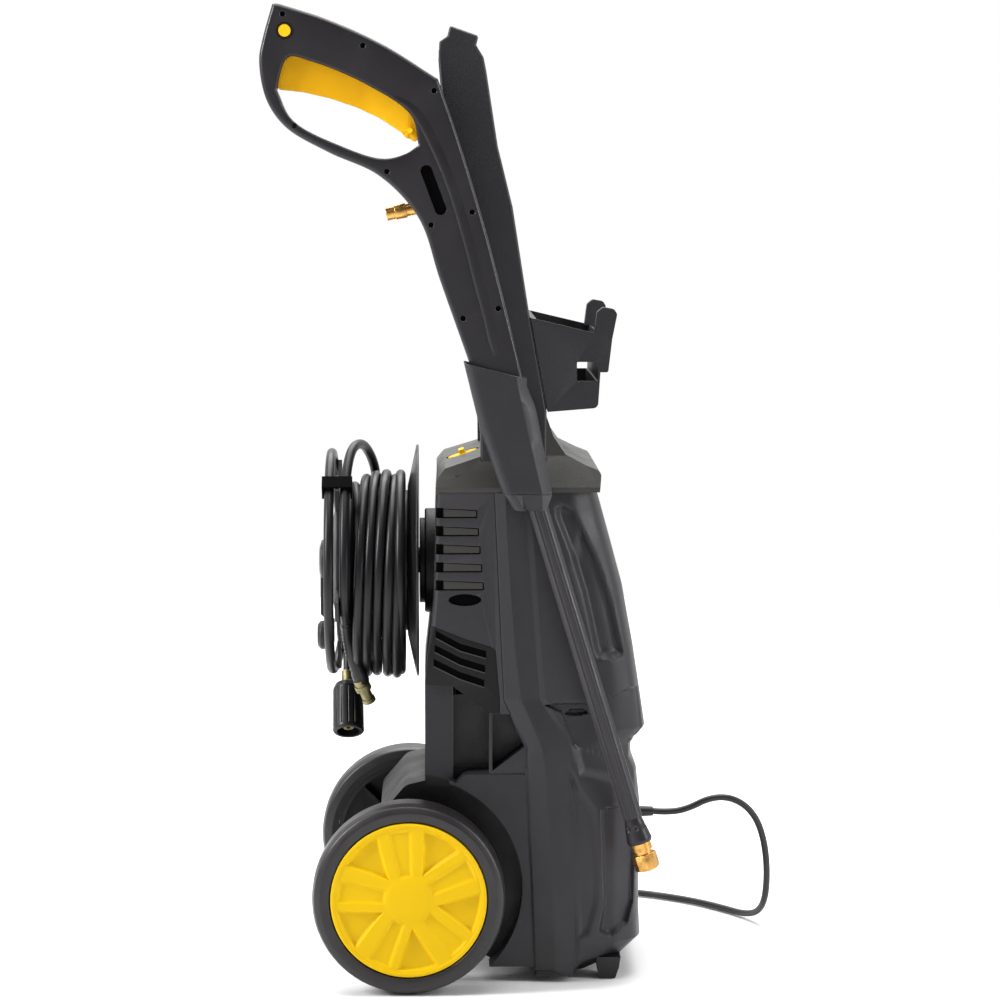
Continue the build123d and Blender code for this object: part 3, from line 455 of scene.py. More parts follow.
# free points before and after the winding, and points on a turn as (angle, radius, y)
HOSE_START = [(-44.3, 92.3, 267.5), (-51.5, 99.5, 287), (-61, 106, 315)]
RISING_TURN = [(-20, 100, 107.5), (2, 98, 107.5), (24, 96, 107.5), (46, 96, 107.2), (64, 104, 105.5),
               (80, 111, 101), (97, 111, 92), (113, 102, 84), (128, 95, 80)]
LAST_TURNS = [(142, 72.5, 107.4), (166, 78, 107.6), (190, 86, 108), (214, 94, 110), (238, 100, 113.5),
              (262, 103.5, 118), (286, 105, 121), (310, 105, 121.6), (334, 104, 121.8), (358, 101, 121.8),
              (382, 97.5, 121.8), (404, 96.5, 121.8), (426, 98.5, 121.8), (448, 102.5, 121.5),
              (470, 104.5, 121), (492, 105, 120), (514, 105.2, 118), (536, 105.4, 115), (556, 105.6, 112)]
HOSE_END = [(103.5, 111, 344), (94, 110, 326.5), (80, 109.3, 306.6), (65, 108.8, 285.1), (55, 108.45, 270.7),
            (49.4, 108.26, 262.6), (45, 108.1, 256.3)]


def round_reel(angle, radius, y, sag=0.0):
    """Point on a turn; the angle is in degrees from the gun side, upwards over the top."""
    a = math.radians(angle)
    return (-radius * math.cos(a), y, REEL_Z - sag + radius * math.sin(a))


def sideways(stations, turn, share):
    """Y between one turn and the next, where share is 0 at the one and 1 at the other."""
    return stations[turn] + (stations[turn + 1] - stations[turn]) * smoothstep(share).item()


def outer_layer():
    """Loose turns that hang on the reel, laid from the outer flange to the inner one."""
    points = []
    for turn in range(HOSE_TURNS):
        for step in range(HOSE_STEPS):
            share = step / HOSE_STEPS
            if turn == 0 and share < 0.25:
                y = FIRST_Y + (OUTER_Y[0] - FIRST_Y) * share / 0.25
            else:
                y = sideways(OUTER_Y, turn, (share - 0.45) / 0.5)
            radius = OUTER_RADIUS + 1.2 * math.sin(turn * 2.3 + step * 0.8)
            sag = SAG + 1.5 * math.cos(turn * 1.9)
            points.append(round_reel(WIND_START + 360 * turn + step * 360 / HOSE_STEPS, radius, y, sag))
    return points


def inner_layer():
    """Tight turns below them, laid back to the outer flange."""
    points = []
    for turn in range(HOSE_TURNS):
        for step in range(HOSE_STEPS):
            y = sideways(INNER_Y, turn, (step / HOSE_STEPS - 0.7) / 0.3)
            radius = INNER_RADIUS
            if turn == 0 and step < 4:
                radius = DOWN_RADIUS - (DOWN_RADIUS - INNER_RADIUS) * step / 4
            points.append(round_reel(WIND_START + 360 * turn + step * 360 / HOSE_STEPS, radius, y))
    return points


hose_points = HOSE_START + [round_reel(*spot) for spot in RISING_TURN] + outer_layer() + inner_layer()
hose_points += [round_reel(*spot) for spot in LAST_TURNS] + HOSE_END
hose = cord_curve("hose_line", hose_points, HOSE_D, RUBBER, "reel")
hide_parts("hose_coil")
hose_length, hose_line = bare_line(hose)


def along_line(line, name, profile, look, body, segments=28):
    """Turned sleeve that follows a line of points; profile is (share of the line, radius in mm)."""
    pts = [Vector(p) / MM for p in line]
    verts, previous = [], None
    for share, radius in profile:
        where = share * (len(pts) - 1)
        i = min(int(where), len(pts) - 2)
        spot = pts[i].lerp(pts[i + 1], where - i)
        ahead = (pts[min(i + 2, len(pts) - 1)] - pts[max(i - 1, 0)]).normalized()
        side = (previous or ahead.orthogonal()).normalized()
        side = (side - ahead * side.dot(ahead)).normalized()
        previous = side
        up = ahead.cross(side)
        for k in range(segments):
            a = 2 * math.pi * k / segments
            verts.append(spot + (side * math.cos(a) + up * math.sin(a)) * radius)
    return piece(name, verts, grid_faces(len(profile), segments, closed=True), look, body, 50)


# the bend sleeve covers the first part of the hose, in metres; its ribs are rings of two radii
SLEEVE_REACH = 0.074
RIBS = 25
sleeve_line = []
walk = 0.0
for here, ahead in zip(hose_line, hose_line[1:]):
    sleeve_line.append(here)
    walk += (Vector(ahead) - Vector(here)).length
    if walk > SLEEVE_REACH:
        break
collar = [(0, 4.4), (0, 6.8), (0.02, 7.3), (0.12, 7.3), (0.14, 6.9)]
ribs = [(0.14 + 0.8 * k / 24, 6.9 - 1.3 * k / 24 - (0.7 if k % 2 else 0)) for k in range(RIBS)]
sleeve = along_line(sleeve_line, "hose_bend_sleeve", collar + ribs + [(0.99, 5.0), (1.0, 4.4)],
                    SMOOTH_BLACK, "reel")


# ---- wheel covers ----
# wheel centre (y, z), x of the tyre's inner face, and middles of the pockets and troughs in degrees
WHEEL = (49.0, 87.5)
WHEEL_IN = 123.0
POCKETS = (61, 133, 205, 277, 349)
TROUGHS = (27, 97, 172, 245, 316)
POCKET_DEPTH, TROUGH_DEPTH, RIM_STEP = 3.6, 1.9, 0.9
COVER_FACE, HUB_FACE = 40.2, 41.0
# pockets and troughs end here, the step of the rim begins a little further out
PATTERN_RADIUS = 65.4
COVER_RADII = list(np.linspace(16.6, 62, 58))
COVER_RADII += [62.6, 63.2, 63.8, 64.4, 65, 65.4, 66, 66.7, 67.4, 68.4, 69.2, 69.8]
# (radius, height) of the outer edge and the back
COVER_EDGE = [(70.4, 40.6), (70.6, 39.8), (70.6, 35.2), (66, 35.2), (66, 33.5), (1, 33.5)]
COVER_STEPS = 300


def cover_height(r, theta):
    """Height of a wheel cover's face over the tyre's inner face, at radius r and angle theta in degrees."""
    x, y = r * np.cos(np.radians(theta)), r * np.sin(np.radians(theta))

    def spoke(centre):
        """Places along and across a spoke."""
        c = math.radians(centre)
        return x * math.cos(c) + y * math.sin(c), -x * math.sin(c) + y * math.cos(c)

    h = np.full(r.shape, COVER_FACE)
    h += (HUB_FACE - COVER_FACE) * smoothstep((24 - r) / 8)
    half_angle = math.radians(27)
    for centre in POCKETS:
        u, v = spoke(centre)
        wall = ((u - 24) * math.tan(half_angle) - np.abs(v)) * math.cos(half_angle)
        h -= POCKET_DEPTH * smoothstep((np.minimum(wall, PATTERN_RADIUS - r) - 0.2) / 2.4)
    for centre in TROUGHS:
        u, v = spoke(centre)
        wall = 7.0 + 0.10 * (u - 20) - np.abs(v)
        gap = np.minimum(np.minimum(wall, PATTERN_RADIUS - r), u - 20)
        h -= TROUGH_DEPTH * smoothstep((gap - 0.2) / 3.4)
    return h + RIM_STEP * smoothstep((r - 66.0) / 1.4)


def wheel_cover(side):
    """Pressed cover of one wheel: rings from the hub outwards, then the edge and the back."""
    r = np.repeat(np.array(COVER_RADII)[:, None], COVER_STEPS, 1)
    theta = np.repeat((np.arange(COVER_STEPS) * 360 / COVER_STEPS)[None, :], len(COVER_RADII), 0)
    rings = list(zip(r, cover_height(r, theta)))
    rings += [(np.full(COVER_STEPS, radius), np.full(COVER_STEPS, height)) for radius, height in COVER_EDGE]
    verts = []
    for radii, heights in rings:
        for angle, radius, height in zip(np.radians(theta[0]), radii, heights):
            # the angle is counted as seen from outside the gun side
            verts.append((side * (WHEEL_IN + height), WHEEL[0] - radius * math.cos(angle),
                          WHEEL[1] + radius * math.sin(angle)))
    faces = grid_faces(len(rings), COVER_STEPS, closed=True)
    hub = len(verts)
    verts.append((side * (WHEEL_IN + HUB_FACE), WHEEL[0], WHEEL[1]))
    faces += [(hub, k, (k + 1) % COVER_STEPS) for k in range(COVER_STEPS)]
    faces.append(tuple(range(hub - COVER_STEPS, hub)))
    label = "left" if side < 0 else "right"
    cover = piece("wheel_cover_shape_" + label, verts, faces, YELLOW, "wheel_" + label, 60)
    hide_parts("wheel_cover_" + label)


for side in (-1, 1):
    wheel_cover(side)


# ---- front casing ----
CASING_LEVELS = [
    # height; y of the band, panel edge and front; half widths at the panel edge, corner and front
    (451.6, -39, -56, -124, 114, 103, 88), (408, -41, -60, -136, 116, 105, 90),
    (363, -44, -63, -148, 117, 107, 92), (308, -48, -67, -158, 117, 108, 94),
    (262, -54, -71, -165, 117, 109, 95), (232, -67, -90, -169.6, 115, 104, 92),
    (216, -73, -99, -157, 114, 102, 90), (203, -75, -101, -157, 115, 103, 90),
    (192, -76, -101, -162, 115.5, 104, 90), (160, -78, -101.5, -165.3, 116, 106, 92),
    (60, -84, -103, -164.4, 117, 107, 92), (36, -85, -103, -165.9, 117, 107, 92),
    (20, -85, -102, -150, 115, 103, 88), (5, -86, -100, -118, 107, 96, 86),
]
SEAM_LINE = [(460, -28.5), (262, -37.5), (216, -59.5), (140, -60.5), (16, -66), (0, -66)]
# outlines on the flank, as (y, z)
SCOOP = [(-84, 428), (-93, 405), (-102, 380), (-108, 361), (-114, 334), (-119, 307), (-123, 299),
         (-137, 296), (-147, 299), (-149, 306), (-145, 320), (-139, 348), (-130, 376), (-121, 398),
         (-111, 419), (-103, 436), (-91, 442), (-83, 438)]
SCOOP_FLOOR = [(-100, 384), (-112, 340), (-124, 300), (-146, 303), (-138, 345), (-124, 388), (-108, 418)]
NECK = [(-72, 258), (-93, 259), (-111, 258.5), (-130, 263), (-146, 269), (-185, 276), (-185, 224),
        (-147, 216), (-133, 211), (-129, 207), (-101, 218), (-99, 224), (-90, 250)]
NECK_SLOT = [(-92, 247.5), (-99, 253), (-111, 252.5), (-117.5, 248.5), (-106, 246)]
RAMP = [(-99, 228), (-129, 219), (-190, 236), (-190, 176), (-139, 184), (-107, 192), (-102, 204)]
VALLEY = [(-96, 206), (-107, 182), (-123, 158), (-126, 97), (-125, 72), (-117, 44), (-106, 40), (-103, 76),
          (-102, 119), (-97, 182)]
RECESS = [(-126, 160), (-162, 166), (-159, 70), (-153, 50), (-137, 40), (-124, 44), (-129, 72)]
UNDERCUT = [(-60, 11), (-83, 11.5), (-102, 4), (-102, 12.5), (-125, 21), (-175, 33), (-175, -9), (-60, -9)]
# the bay of the two water fittings; its reach towards each flank
BAY_LOW, BAY_HIGH, BAY_DEPTH = 62, 150, 14.5
BAY_REACH = {-1: 62, 1: 50}
GROOVE_Z, GROOVE_SIZE = 222, 1.6
# points between the corners of the plan outline
CORNER_STEPS = [4, 3, 12, 14, 5, 60, 14, 10, 42]


def casing_section(z):
    """Half plan outline at a height, from the seam forwards to the middle, as (x, y) points."""
    levels = CASING_LEVELS[::-1]
    heights = [row[0] for row in levels]
    band, panel, front, bulge, corner, nose = (
        float(np.interp(z, heights, [row[k] for row in levels])) for k in range(1, 7))
    seam = float(np.interp(z, [p[0] for p in SEAM_LINE][::-1], [p[1] for p in SEAM_LINE][::-1]))
    band, panel = min(band, seam - 8), min(panel, seam - 20)
    corners = [(106, seam + 0.2), (114.3, seam), (115.4, seam - 1.6), (118.8, band), (115.4, panel),
               (bulge, panel - 5), (corner + 1.5, front + 24), (nose + 3, front + 5), (nose - 18, front),
               (0, front)]
    fine = [np.array(corners[0])]
    for start, end, steps in zip(corners, corners[1:], CORNER_STEPS):
        a, b = np.array(start), np.array(end)
        fine += [a + (b - a) * step / steps for step in range(1, steps + 1)]
    fine = np.array(fine)
    # rounding of the front corner by repeated averaging, with the flank left alone
    loose = np.zeros(len(fine))
    turn = sum(CORNER_STEPS[:6])
    loose[turn - 12:turn + 34] = 1.0
    for _ in range(24):
        mean = (np.roll(fine, 1, 0) + np.roll(fine, -1, 0)) / 2
        fine = fine + (mean - fine) * (0.5 * loose)[:, None]
    return fine


def front_casing_shape():
    """Front shell: stacked half outlines with the dents of the flank, mirrored about the middle."""
    heights = np.concatenate([np.arange(5, 20, 1.5), np.arange(20, 222, 2.0), np.arange(222, 282, 1.2),
                              np.arange(282, 451.5, 2.0), [451.5]])
    half = np.array([casing_section(z) for z in heights])
    zz = np.repeat(heights[:, None], half.shape[1], 1)
    outer, y = half[:, :, 0], half[:, :, 1]
    flank = smoothstep((outer - 84) / 10)
    flank[:, :5] = 0

    def dent(outline, depth, soft, ease=0.0):
        return depth * smoothstep((inside_distance(y, zz, outline) + ease) / soft) * flank

    drop = dent(SCOOP, depth=5.0, soft=7.0) + dent(SCOOP_FLOOR, depth=3.0, soft=12.0, ease=4.0)
    drop += np.maximum(dent(NECK, depth=4.5, soft=1.6), dent(RAMP, depth=4.0, soft=12.0, ease=3.0))
    drop += dent(NECK_SLOT, depth=5.0, soft=1.4) + dent(VALLEY, depth=3.2, soft=7.0, ease=1.0)
    drop += dent(RECESS, depth=6.5, soft=4.0)
    drop += dent(UNDERCUT, depth=3.0, soft=2.0)
    x = np.where(flank > 0, outer - drop, outer)
    nose = (y < -120) & (x < 80)
    groove = np.where(y < -100, GROOVE_SIZE * np.exp(-((zz - GROOVE_Z) / GROOVE_SIZE) ** 2), 0) * (x < 90)
    depth_of = {}
    for side, reach in BAY_REACH.items():
        inside = np.minimum(reach - x, np.minimum(zz - BAY_LOW, BAY_HIGH - zz))
        depth_of[side] = np.where(nose, BAY_DEPTH * smoothstep(inside / 2.0), 0)
    # from the left seam round the front to the right seam
    grid_x = np.concatenate([-x, x[:, ::-1][:, 1:]], 1)
    grid_y = np.concatenate([y + depth_of[-1] + groove, (y + depth_of[1] + groove)[:, ::-1][:, 1:]], 1)
    grid_z = np.concatenate([zz, zz[:, ::-1][:, 1:]], 1)
    verts = np.stack([grid_x, grid_y, grid_z], -1).reshape(-1, 3).tolist()
    rows, width = grid_x.shape
    faces = grid_faces(rows, width)
    # closed underside, and a lip under the top cover
    hub = len(verts)
    verts.append((0, -95, 5))
    faces += [(j, j + 1, hub) for j in range(width - 1)]
    lip = len(verts)
    top = (rows - 1) * width
    for j in range(width):
        px, py, pz = verts[top + j]
        verts.append((px * 0.9, -80 + (py + 80) * 0.9, pz))
    faces += [(top + j, top + j + 1, lip + j + 1, lip + j) for j in range(width - 1)]
    casing = piece("front_casing_shape", verts, faces, CHARCOAL, "machine", 28)
    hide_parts("front_casing")


front_casing_shape()


# ---- spray gun ----
GUN_X, GUN_HALF = -140.0, 16.5
BODY_FRONT = [(-72.5, 470), (-54.4, 556.4), (-38.6, 621), (-20.8, 690), (2, 766.3), (21, 822)]
BODY_TOP = [(21, 822), (69.6, 852.4), (119.9, 874.9), (160, 887.6)]
BODY_LOOP = [(166.5, 887.6), (175.2, 857.2), (178.4, 838.3), (172.2, 803.9), (155.1, 779.6),
             (117.3, 757.6), (73.2, 737.2), (38.5, 700.1), (19.6, 645.1), (-6.4, 571.5)]
GUARD_LOW = [(163.5, 812.5), (150.3, 786.7), (107.8, 764), (69.9, 752.4), (49.5, 756.8), (38.3, 764)]
GUARD_TOP = [(38.3, 764), (44.6, 789.9), (85.5, 818), (132.7, 837.5), (153, 841), (163.5, 812.5)]
# the last screw sits flush in the narrow hand guard, the others lie in wells
GUN_SCREWS = [(157.4, 878.5), (87.1, 851.2), (24.6, 811.8), (66.3, 741), (27.5, 693.9),
              (-8.9, 705.3), (-32, 620.2), (-0.8, 611.3), (147.8, 780.8)]
BUTTON = (155.7, 864.2)
GRIP_SLOT = ((31.5, 741.5), (19.0, 708.0), 5.6)
RIDGE = [(60, 806), (46, 797), (36, 783), (27, 766), (15, 739), (5, 710), (-5, 675), (-14, 640),
         (-22, 610), (-29, 578)]
# (offset across, height) of the ridge, and (radius, drop) of a screw head down into its cross slot
RIDGE_SECTION = [(-8.0, -0.4), (-5.5, 0.25), (-3, 0.9), (-0.5, 1.5), (1.0, 1.5), (2.2, 0.9), (3.2, -0.4)]
SCREW_RINGS = ((2.3, 1.6), (2.3, 0.5), (1.9, 0.15), (1.2, 0.0), (0.9, 0.0), (0.5, 0.7))
SCREW_STEPS = 24
WELL_RADIUS, WELL_DEPTH = 2.9, 3.0
BUTTON_RADIUS, BUTTON_DEPTH = 8.0, 1.6
SLOT_DEPTH = 2.4


def blended(points, knots, t, reach):
    """Each pair of neighbours blended at t, between knots that lie reach apart."""
    return [(p * (knots[i + reach] - t) + q * (t - knots[i])) / (knots[i + reach] - knots[i])
            for i, (p, q) in enumerate(zip(points, points[1:]))]


def flowing(points, spacing=3.0):
    """Even points on a smooth curve through points (centripetal runs with mirrored ends)."""
    pts = [np.array(p, float) for p in points]
    pts = [2 * pts[0] - pts[1]] + pts + [2 * pts[-1] - pts[-2]]
    fine = []
    for a, b, c, d in zip(pts, pts[1:], pts[2:], pts[3:]):
        knots = [0.0]
        for p, q in ((a, b), (b, c), (c, d)):
            knots.append(knots[-1] + max(np.linalg.norm(q - p), 1e-6) ** 0.5)
        for t in np.linspace(knots[1], knots[2], 24, endpoint=False):
            first = blended((a, b, c, d), knots, t, 1)
            second = blended(first, knots, t, 2)
            fine.append(blended(second, knots[1:], t, 1)[0])
    fine.append(pts[-2])
    fine = np.array(fine)
    steps = np.concatenate([[0], np.cumsum(np.linalg.norm(np.diff(fine, axis=0), axis=1))])
    count = max(2, int(round(steps[-1] / spacing)) + 1)
    even = np.linspace(0, steps[-1], count)
    return np.stack([np.interp(even, steps, fine[:, k]) for k in range(2)], 1)


def inset(loop, amount):
    """Closed loop moved inwards by an amount (negative: outwards); loop runs counter-clockwise."""
    before, after = np.roll(loop, 1, 0), np.roll(loop, -1, 0)
    t0, t1 = loop - before, after - loop
    t0 /= np.linalg.norm(t0, axis=1)[:, None]
    t1 /= np.linalg.norm(t1, axis=1)[:, None]
    normal = np.stack([-(t0 + t1)[:, 1], (t0 + t1)[:, 0]], 1)
    normal /= np.linalg.norm(normal, axis=1)[:, None]
    return loop + normal * amount


def counter_clockwise(loop):
    area = np.sum(loop[:, 0] * np.roll(loop[:, 1], -1) - np.roll(loop[:, 0], -1) * loop[:, 1])
    return loop if area > 0 else loop[::-1]


def circle(centre, radius, count):
    a = np.arange(count) * 2 * math.pi / count
    return np.stack([centre[0] + radius * np.cos(a), centre[1] + radius * np.sin(a)], 1)


def stadium(a, b, radius, count=14):
    """Outline of a slot with round ends."""
    a, b = np.array(a), np.array(b)
    lean = math.atan2(*(b - a)[::-1])
    ends = [(b, lean - math.pi / 2), (a, lean + math.pi / 2)]
    pts = []
    for centre, start in ends:
        for k in range(count + 1):
            t = start + math.pi * k / count
            pts.append(centre + radius * np.array([math.cos(t), math.sin(t)]))
    return np.array(pts)


def rounded_wall(edge, angles):
    """(inset, height) rows up a wall and round its edge; a negative edge opens outwards."""
    rows = [(0, 0.0), (0, GUN_HALF - abs(edge))]
    return rows + [(edge * (1 - math.cos(a)), GUN_HALF - abs(edge) + abs(edge) * math.sin(a))
                   for a in np.radians(angles)]


def gun_shape():
    """Both halves of the gun: rounded walls, wells, and a flat face stretched between all the rims."""
    foot = np.array([(-17, 542), (-27, 515), (-37, 492), (-46, 471)])
    outline = counter_clockwise(np.concatenate([flowing(BODY_FRONT)[:-1], flowing(BODY_TOP), [(163.6, 888.2)],
                                                flowing(BODY_LOOP), foot]))
    guard = counter_clockwise(np.concatenate([flowing(GUARD_LOW)[:-1], flowing(GUARD_TOP)[:-1]]))
    walls = ((outline, rounded_wall(4.2, [18, 36, 54, 72, 90])),
             (guard, rounded_wall(-2.6, [22, 45, 68, 90])))
    grip_slot = stadium(*GRIP_SLOT)
    wells = [(circle(spot, WELL_RADIUS, 18), WELL_DEPTH) for spot in GUN_SCREWS[:-1]]
    wells += [(circle(BUTTON, BUTTON_RADIUS, 32), BUTTON_DEPTH), (grip_slot, SLOT_DEPTH)]
    for side, label in ((-1, "left"), (1, "right")):
        verts, faces, rims, floors = [], [], [], []

        def add_loop(points, x):
            start = len(verts)
            verts.extend((GUN_X + side * x, p[0], p[1]) for p in points)
            return range(start, len(verts))

        def bridge(a, b):
            n = len(a)
            faces.extend((a[k], a[(k + 1) % n], b[(k + 1) % n], b[k]) for k in range(n))

        for shape, rows in walls:
            last = None
            for amount, x in rows:
                # a hair between the halves at the seam
                row = add_loop(inset(shape, amount), x + (0.15 if x == 0 else 0))
                if last is not None:
                    bridge(last, row)
                last = row
            rims.append(last)
        for ring, deep in wells:
            mouth = add_loop(ring, GUN_HALF)
            lip = add_loop(inset(counter_clockwise(ring), 0.5), GUN_HALF - 0.5)
            bottom = add_loop(inset(counter_clockwise(ring), 0.7), GUN_HALF - deep)
            bridge(mouth, lip)
            bridge(lip, bottom)
            floors.append(bottom)
            rims.append(mouth)
        work = bmesh.new()
        index = [i for rim in rims for i in rim]
        made = [work.verts.new(verts[i]) for i in index]
        edges = []
        at = 0
        for rim in rims:
            n = len(rim)
            edges += [work.edges.new((made[at + k], made[at + (k + 1) % n])) for k in range(n)]
            at += n
        work.verts.index_update()
        bmesh.ops.triangle_fill(work, edges=edges, use_beauty=True)
        work.verts.index_update()
        faces += [tuple(index[v.index] for v in f.verts) for f in work.faces]
        work.free()
        faces += [tuple(f) for f in floors]
        shell = piece("gun_shell_shape_" + label, verts, faces, GUN_BLACK, "gun", 40)
        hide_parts("gun_shell_" + label)
        darken_wells(shell, [tuple(p) for p in grip_slot])


def darken_wells(shell, grip_slot):
    """Second material, near-black as painted shade, on the faces down in the screw wells and the grip slot.
    """
    shell.data.materials.append(BLACK_AND_SHADE)
    for poly in shell.data.polygons:
        away, y, z = abs(poly.center.x / MM - GUN_X), poly.center.y / MM, poly.center.z / MM
        sunk = GUN_HALF - 3.2 < away < GUN_HALF - 0.55
        on_screw = any(math.dist((y, z), spot) < WELL_RADIUS - 0.1 for spot in GUN_SCREWS)
        if sunk and (on_screw or inside_distance(np.array([y]), np.array([z]), grip_slot)[0] > -0.1):
            poly.material_index = 1


def screw_heads():
    """Domed heads with a cross slot, at the bottom of their wells, coloured near-black as painted shade."""
    verts, faces = [], []
    for spot in GUN_SCREWS:
        for side in (-1, 1):
            top = GUN_HALF + (0.15 if spot == GUN_SCREWS[-1] else -1.7)
            start = len(verts)
            for radius, drop in SCREW_RINGS:
                for k in range(SCREW_STEPS):
                    a = math.radians(360 / SCREW_STEPS * k)
                    # the two inner rings make the cross, with an arm every quarter turn
                    reach = radius if radius > 1 or k % 6 == 0 else radius * 0.45
                    verts.append((GUN_X + side * (top - drop), spot[0] + reach * math.cos(a),
                                  spot[1] + reach * math.sin(a)))
            rings = grid_faces(len(SCREW_RINGS), SCREW_STEPS, closed=True)
            faces += [tuple(start + i for i in f) for f in rings]
            faces.append(tuple(range(len(verts) - SCREW_STEPS, len(verts))))
            faces.append(tuple(range(start, start + SCREW_STEPS)))
    heads = piece("gun_screw_heads", verts, faces, BLACK_AND_SHADE, "gun", 40)
    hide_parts("gun_screws")


def gun_ridge(side):
    """Low moulded ridge down the flank, where the front strip of the gun begins."""
    line = flowing(RIDGE, 5.0)
    face = GUN_X + side * GUN_HALF
    tangent = np.gradient(line, axis=0)
    tangent /= np.linalg.norm(tangent, axis=1)[:, None]
    across = np.stack([-tangent[:, 1], tangent[:, 0]], 1)
    verts = []
    for i, (spot, aside) in enumerate(zip(line, across)):
        fade = min(1.0, i / 6, (len(line) - 1 - i) / 3)
        for offset, height in RIDGE_SECTION:
            p = spot + aside * offset * (0.4 + 0.6 * fade)
            verts.append((face + side * (height if height < 0 else height * fade), p[0], p[1]))
    piece("gun_ridge_" + ("left" if side < 0 else "right"), verts, grid_faces(len(line), len(RIDGE_SECTION)),
          GUN_BLACK, "gun", 60)


gun_shape()
screw_heads()
for side in (-1, 1):
    gun_ridge(side)


# ---- painted shade in the gaps of the rear housing, painted sheen on its vent plates, painted highlights on its louvre lips ----
HOUSING_HALF = 115
VENT_TOPS = [438.2 - 16.5 * row for row in range(5)]
VENT_HEIGHT = 9.5
# back end of the vent plates, front end of the top one, and how much further each next one reaches
VENT_BACK, VENT_FRONT, VENT_GROWTH = 17.0, -13.9, 1.5
LOUVRE_PITCH = 13
# middle (y, z) and half axes of the small oval opening
OVAL, OVAL_SIZE = (-2.6, 354), (14.4, 5.0)
CHASSIS_LIP = [(-57, 200), (-65, 200), (-72, 14), (-60, 14)]
# depths below the flank
LINE_AT, END_AT, OPEN_AT, PLATE_AT = 1.75, 1.7, 4.4, 1.88
OVAL_AT, LOUVRE_AT, LIP_AT, CHASSIS_AT = 2.2, 2.6, 1.0, 1.6


def flank_piece(name, patches, look):
    """Flat patches given as (outline, depth below the flank), on both flanks of the housing."""
    verts, faces = [], []
    for side in (-1, 1):
        for outline, depth in patches:
            start = len(verts)
            verts += [(side * (HOUSING_HALF - depth), y, z) for y, z in outline]
            faces.append(tuple(range(start, len(verts))))
    piece(name, verts, faces, look, "machine", 35)


def box(y0, z0, y1, z1):
    """Corners of an upright rectangle on the flank."""
    return [(y0, z0), (y0, z1), (y1, z1), (y1, z0)]


def ribbon(points, width):
    """Quads along a line of points, as outlines."""
    pts = np.array(points, float)
    ahead = np.gradient(pts, axis=0)
    ahead /= np.linalg.norm(ahead, axis=1)[:, None]
    aside = np.stack([-ahead[:, 1], ahead[:, 0]], 1) * width / 2
    low, high = pts - aside, pts + aside
    return [[tuple(p) for p in (low[k], low[k + 1], high[k + 1], high[k])] for k in range(len(pts) - 1)]


def housing_gap_shade_and_highlights():
    """Painted shade in the gaps of the five vents, the oval and the three louvres, painted sheen on the vent
    plates, painted highlights on the louvre lips, and the lip of the chassis.
    """
    gaps, plates = [], []
    for row, top in enumerate(VENT_TOPS):
        low, end = top - VENT_HEIGHT, VENT_FRONT - VENT_GROWTH * row
        plates.append(([(VENT_BACK, low + 0.6), (VENT_BACK, top - 0.8), (end + 0.6, top - 2.5),
                        (end + 0.6, low + 0.6)], PLATE_AT))
        # painted shade in the gaps above, below and at both ends of each plate, and in the open part of each
        # slot
        gaps.append(([(22, top - 1.0), (22, top - 0.1), (end + 1, top - 2.1), (end + 1, top - 3.0)], LINE_AT))
        gaps.append((box(22, low + 0.1, end + 0.6, low + 1.1), LINE_AT))
        gaps.append((box(end + 0.1, low + 0.4, end + 1.1, top - 2.4), END_AT))
        gaps.append((box(VENT_BACK - 0.2, low + 0.3, VENT_BACK + 1.0, top - 0.6), END_AT))
        gaps.append((box(VENT_BACK + 0.4, low + 0.4, 23.5, top - 0.4), OPEN_AT))
    # painted shade in the small oval opening
    gaps.append(([(OVAL[0] + OVAL_SIZE[0] * math.cos(a), OVAL[1] + OVAL_SIZE[1] * math.sin(a))
                  for a in np.linspace(0, 2 * math.pi, 48)[:-1]], OVAL_AT))
    flank_piece("vent_gap_shade", gaps, BLACK_AND_SHADE)
    # the vent plates are lighter grey as painted sheen
    flank_piece("vent_plate_sheen", plates, GREY)
    slots, lips = [], []
    for row in range(3):
        drop = LOUVRE_PITCH * row
        upper = [(24 + row, 326 - drop), (2, 314 - drop), (-22 + row, 307 - drop * 1.02)]
        lower = [(-22 + row, 300 - drop * 1.02), (2, 307 - drop), (24 + row, 319 - drop)]
        # each louvre slot is a near-black sheet as painted shade
        slots.append((upper + lower, LOUVRE_AT))
        # a lighter grey strip under each slot as painted highlight on its lip
        lips += [(quad, LIP_AT) for quad in ribbon(lower, 0.9)]
    flank_piece("louvre_gap_shade", slots, BLACK_AND_SHADE)
    flank_piece("louvre_lip_highlights", lips, GREY)
    flank_piece("chassis_lip", [(CHASSIS_LIP, CHASSIS_AT)], CHARCOAL)


housing_gap_shade_and_highlights()


# ---- holster ----
HOLSTER_OUT, HOLSTER_IN = -163.8, -119.6
HOLSTER_BACK = [(440, -45.9), (452.6, -38.2), (455, -35.4), (512.5, -15.6), (572.1, 0.6)]
HOLSTER_FRONT = [(440, -75.5), (453, -80.2), (458.8, -79.8), (539, -65.4), (557.5, -57.5)]
HOLSTER_CREASE = [(440, -71.5), (455.8, -71.1), (539.4, -52.9), (560, -48.4)]
HOLSTER_VALLEY = [(440, -55), (455.8, -53.5), (539.4, -34), (560, -28)]
HOLSTER_ARM = [(-22, 552), (-56, 545), (-64, 506), (-32, 506)]
ARM_REACH = (-121.6, -99.6)
FOOT_Z, COLLAR_LOW, COLLAR_HIGH, WALL_FOOT, WALL_HEIGHT = 440.0, 454.0, 455.2, 456.5, 108
WALL_ROWS = 16
# (shrink, drop below the rim) over the rim and down inside
RIM_STEPS = ((1.0, -0.6), (2.6, 0), (3.0, 1.0), (3.0, 60))


def along(table, z):
    return float(np.interp(z, [p[0] for p in table], [p[1] for p in table]))


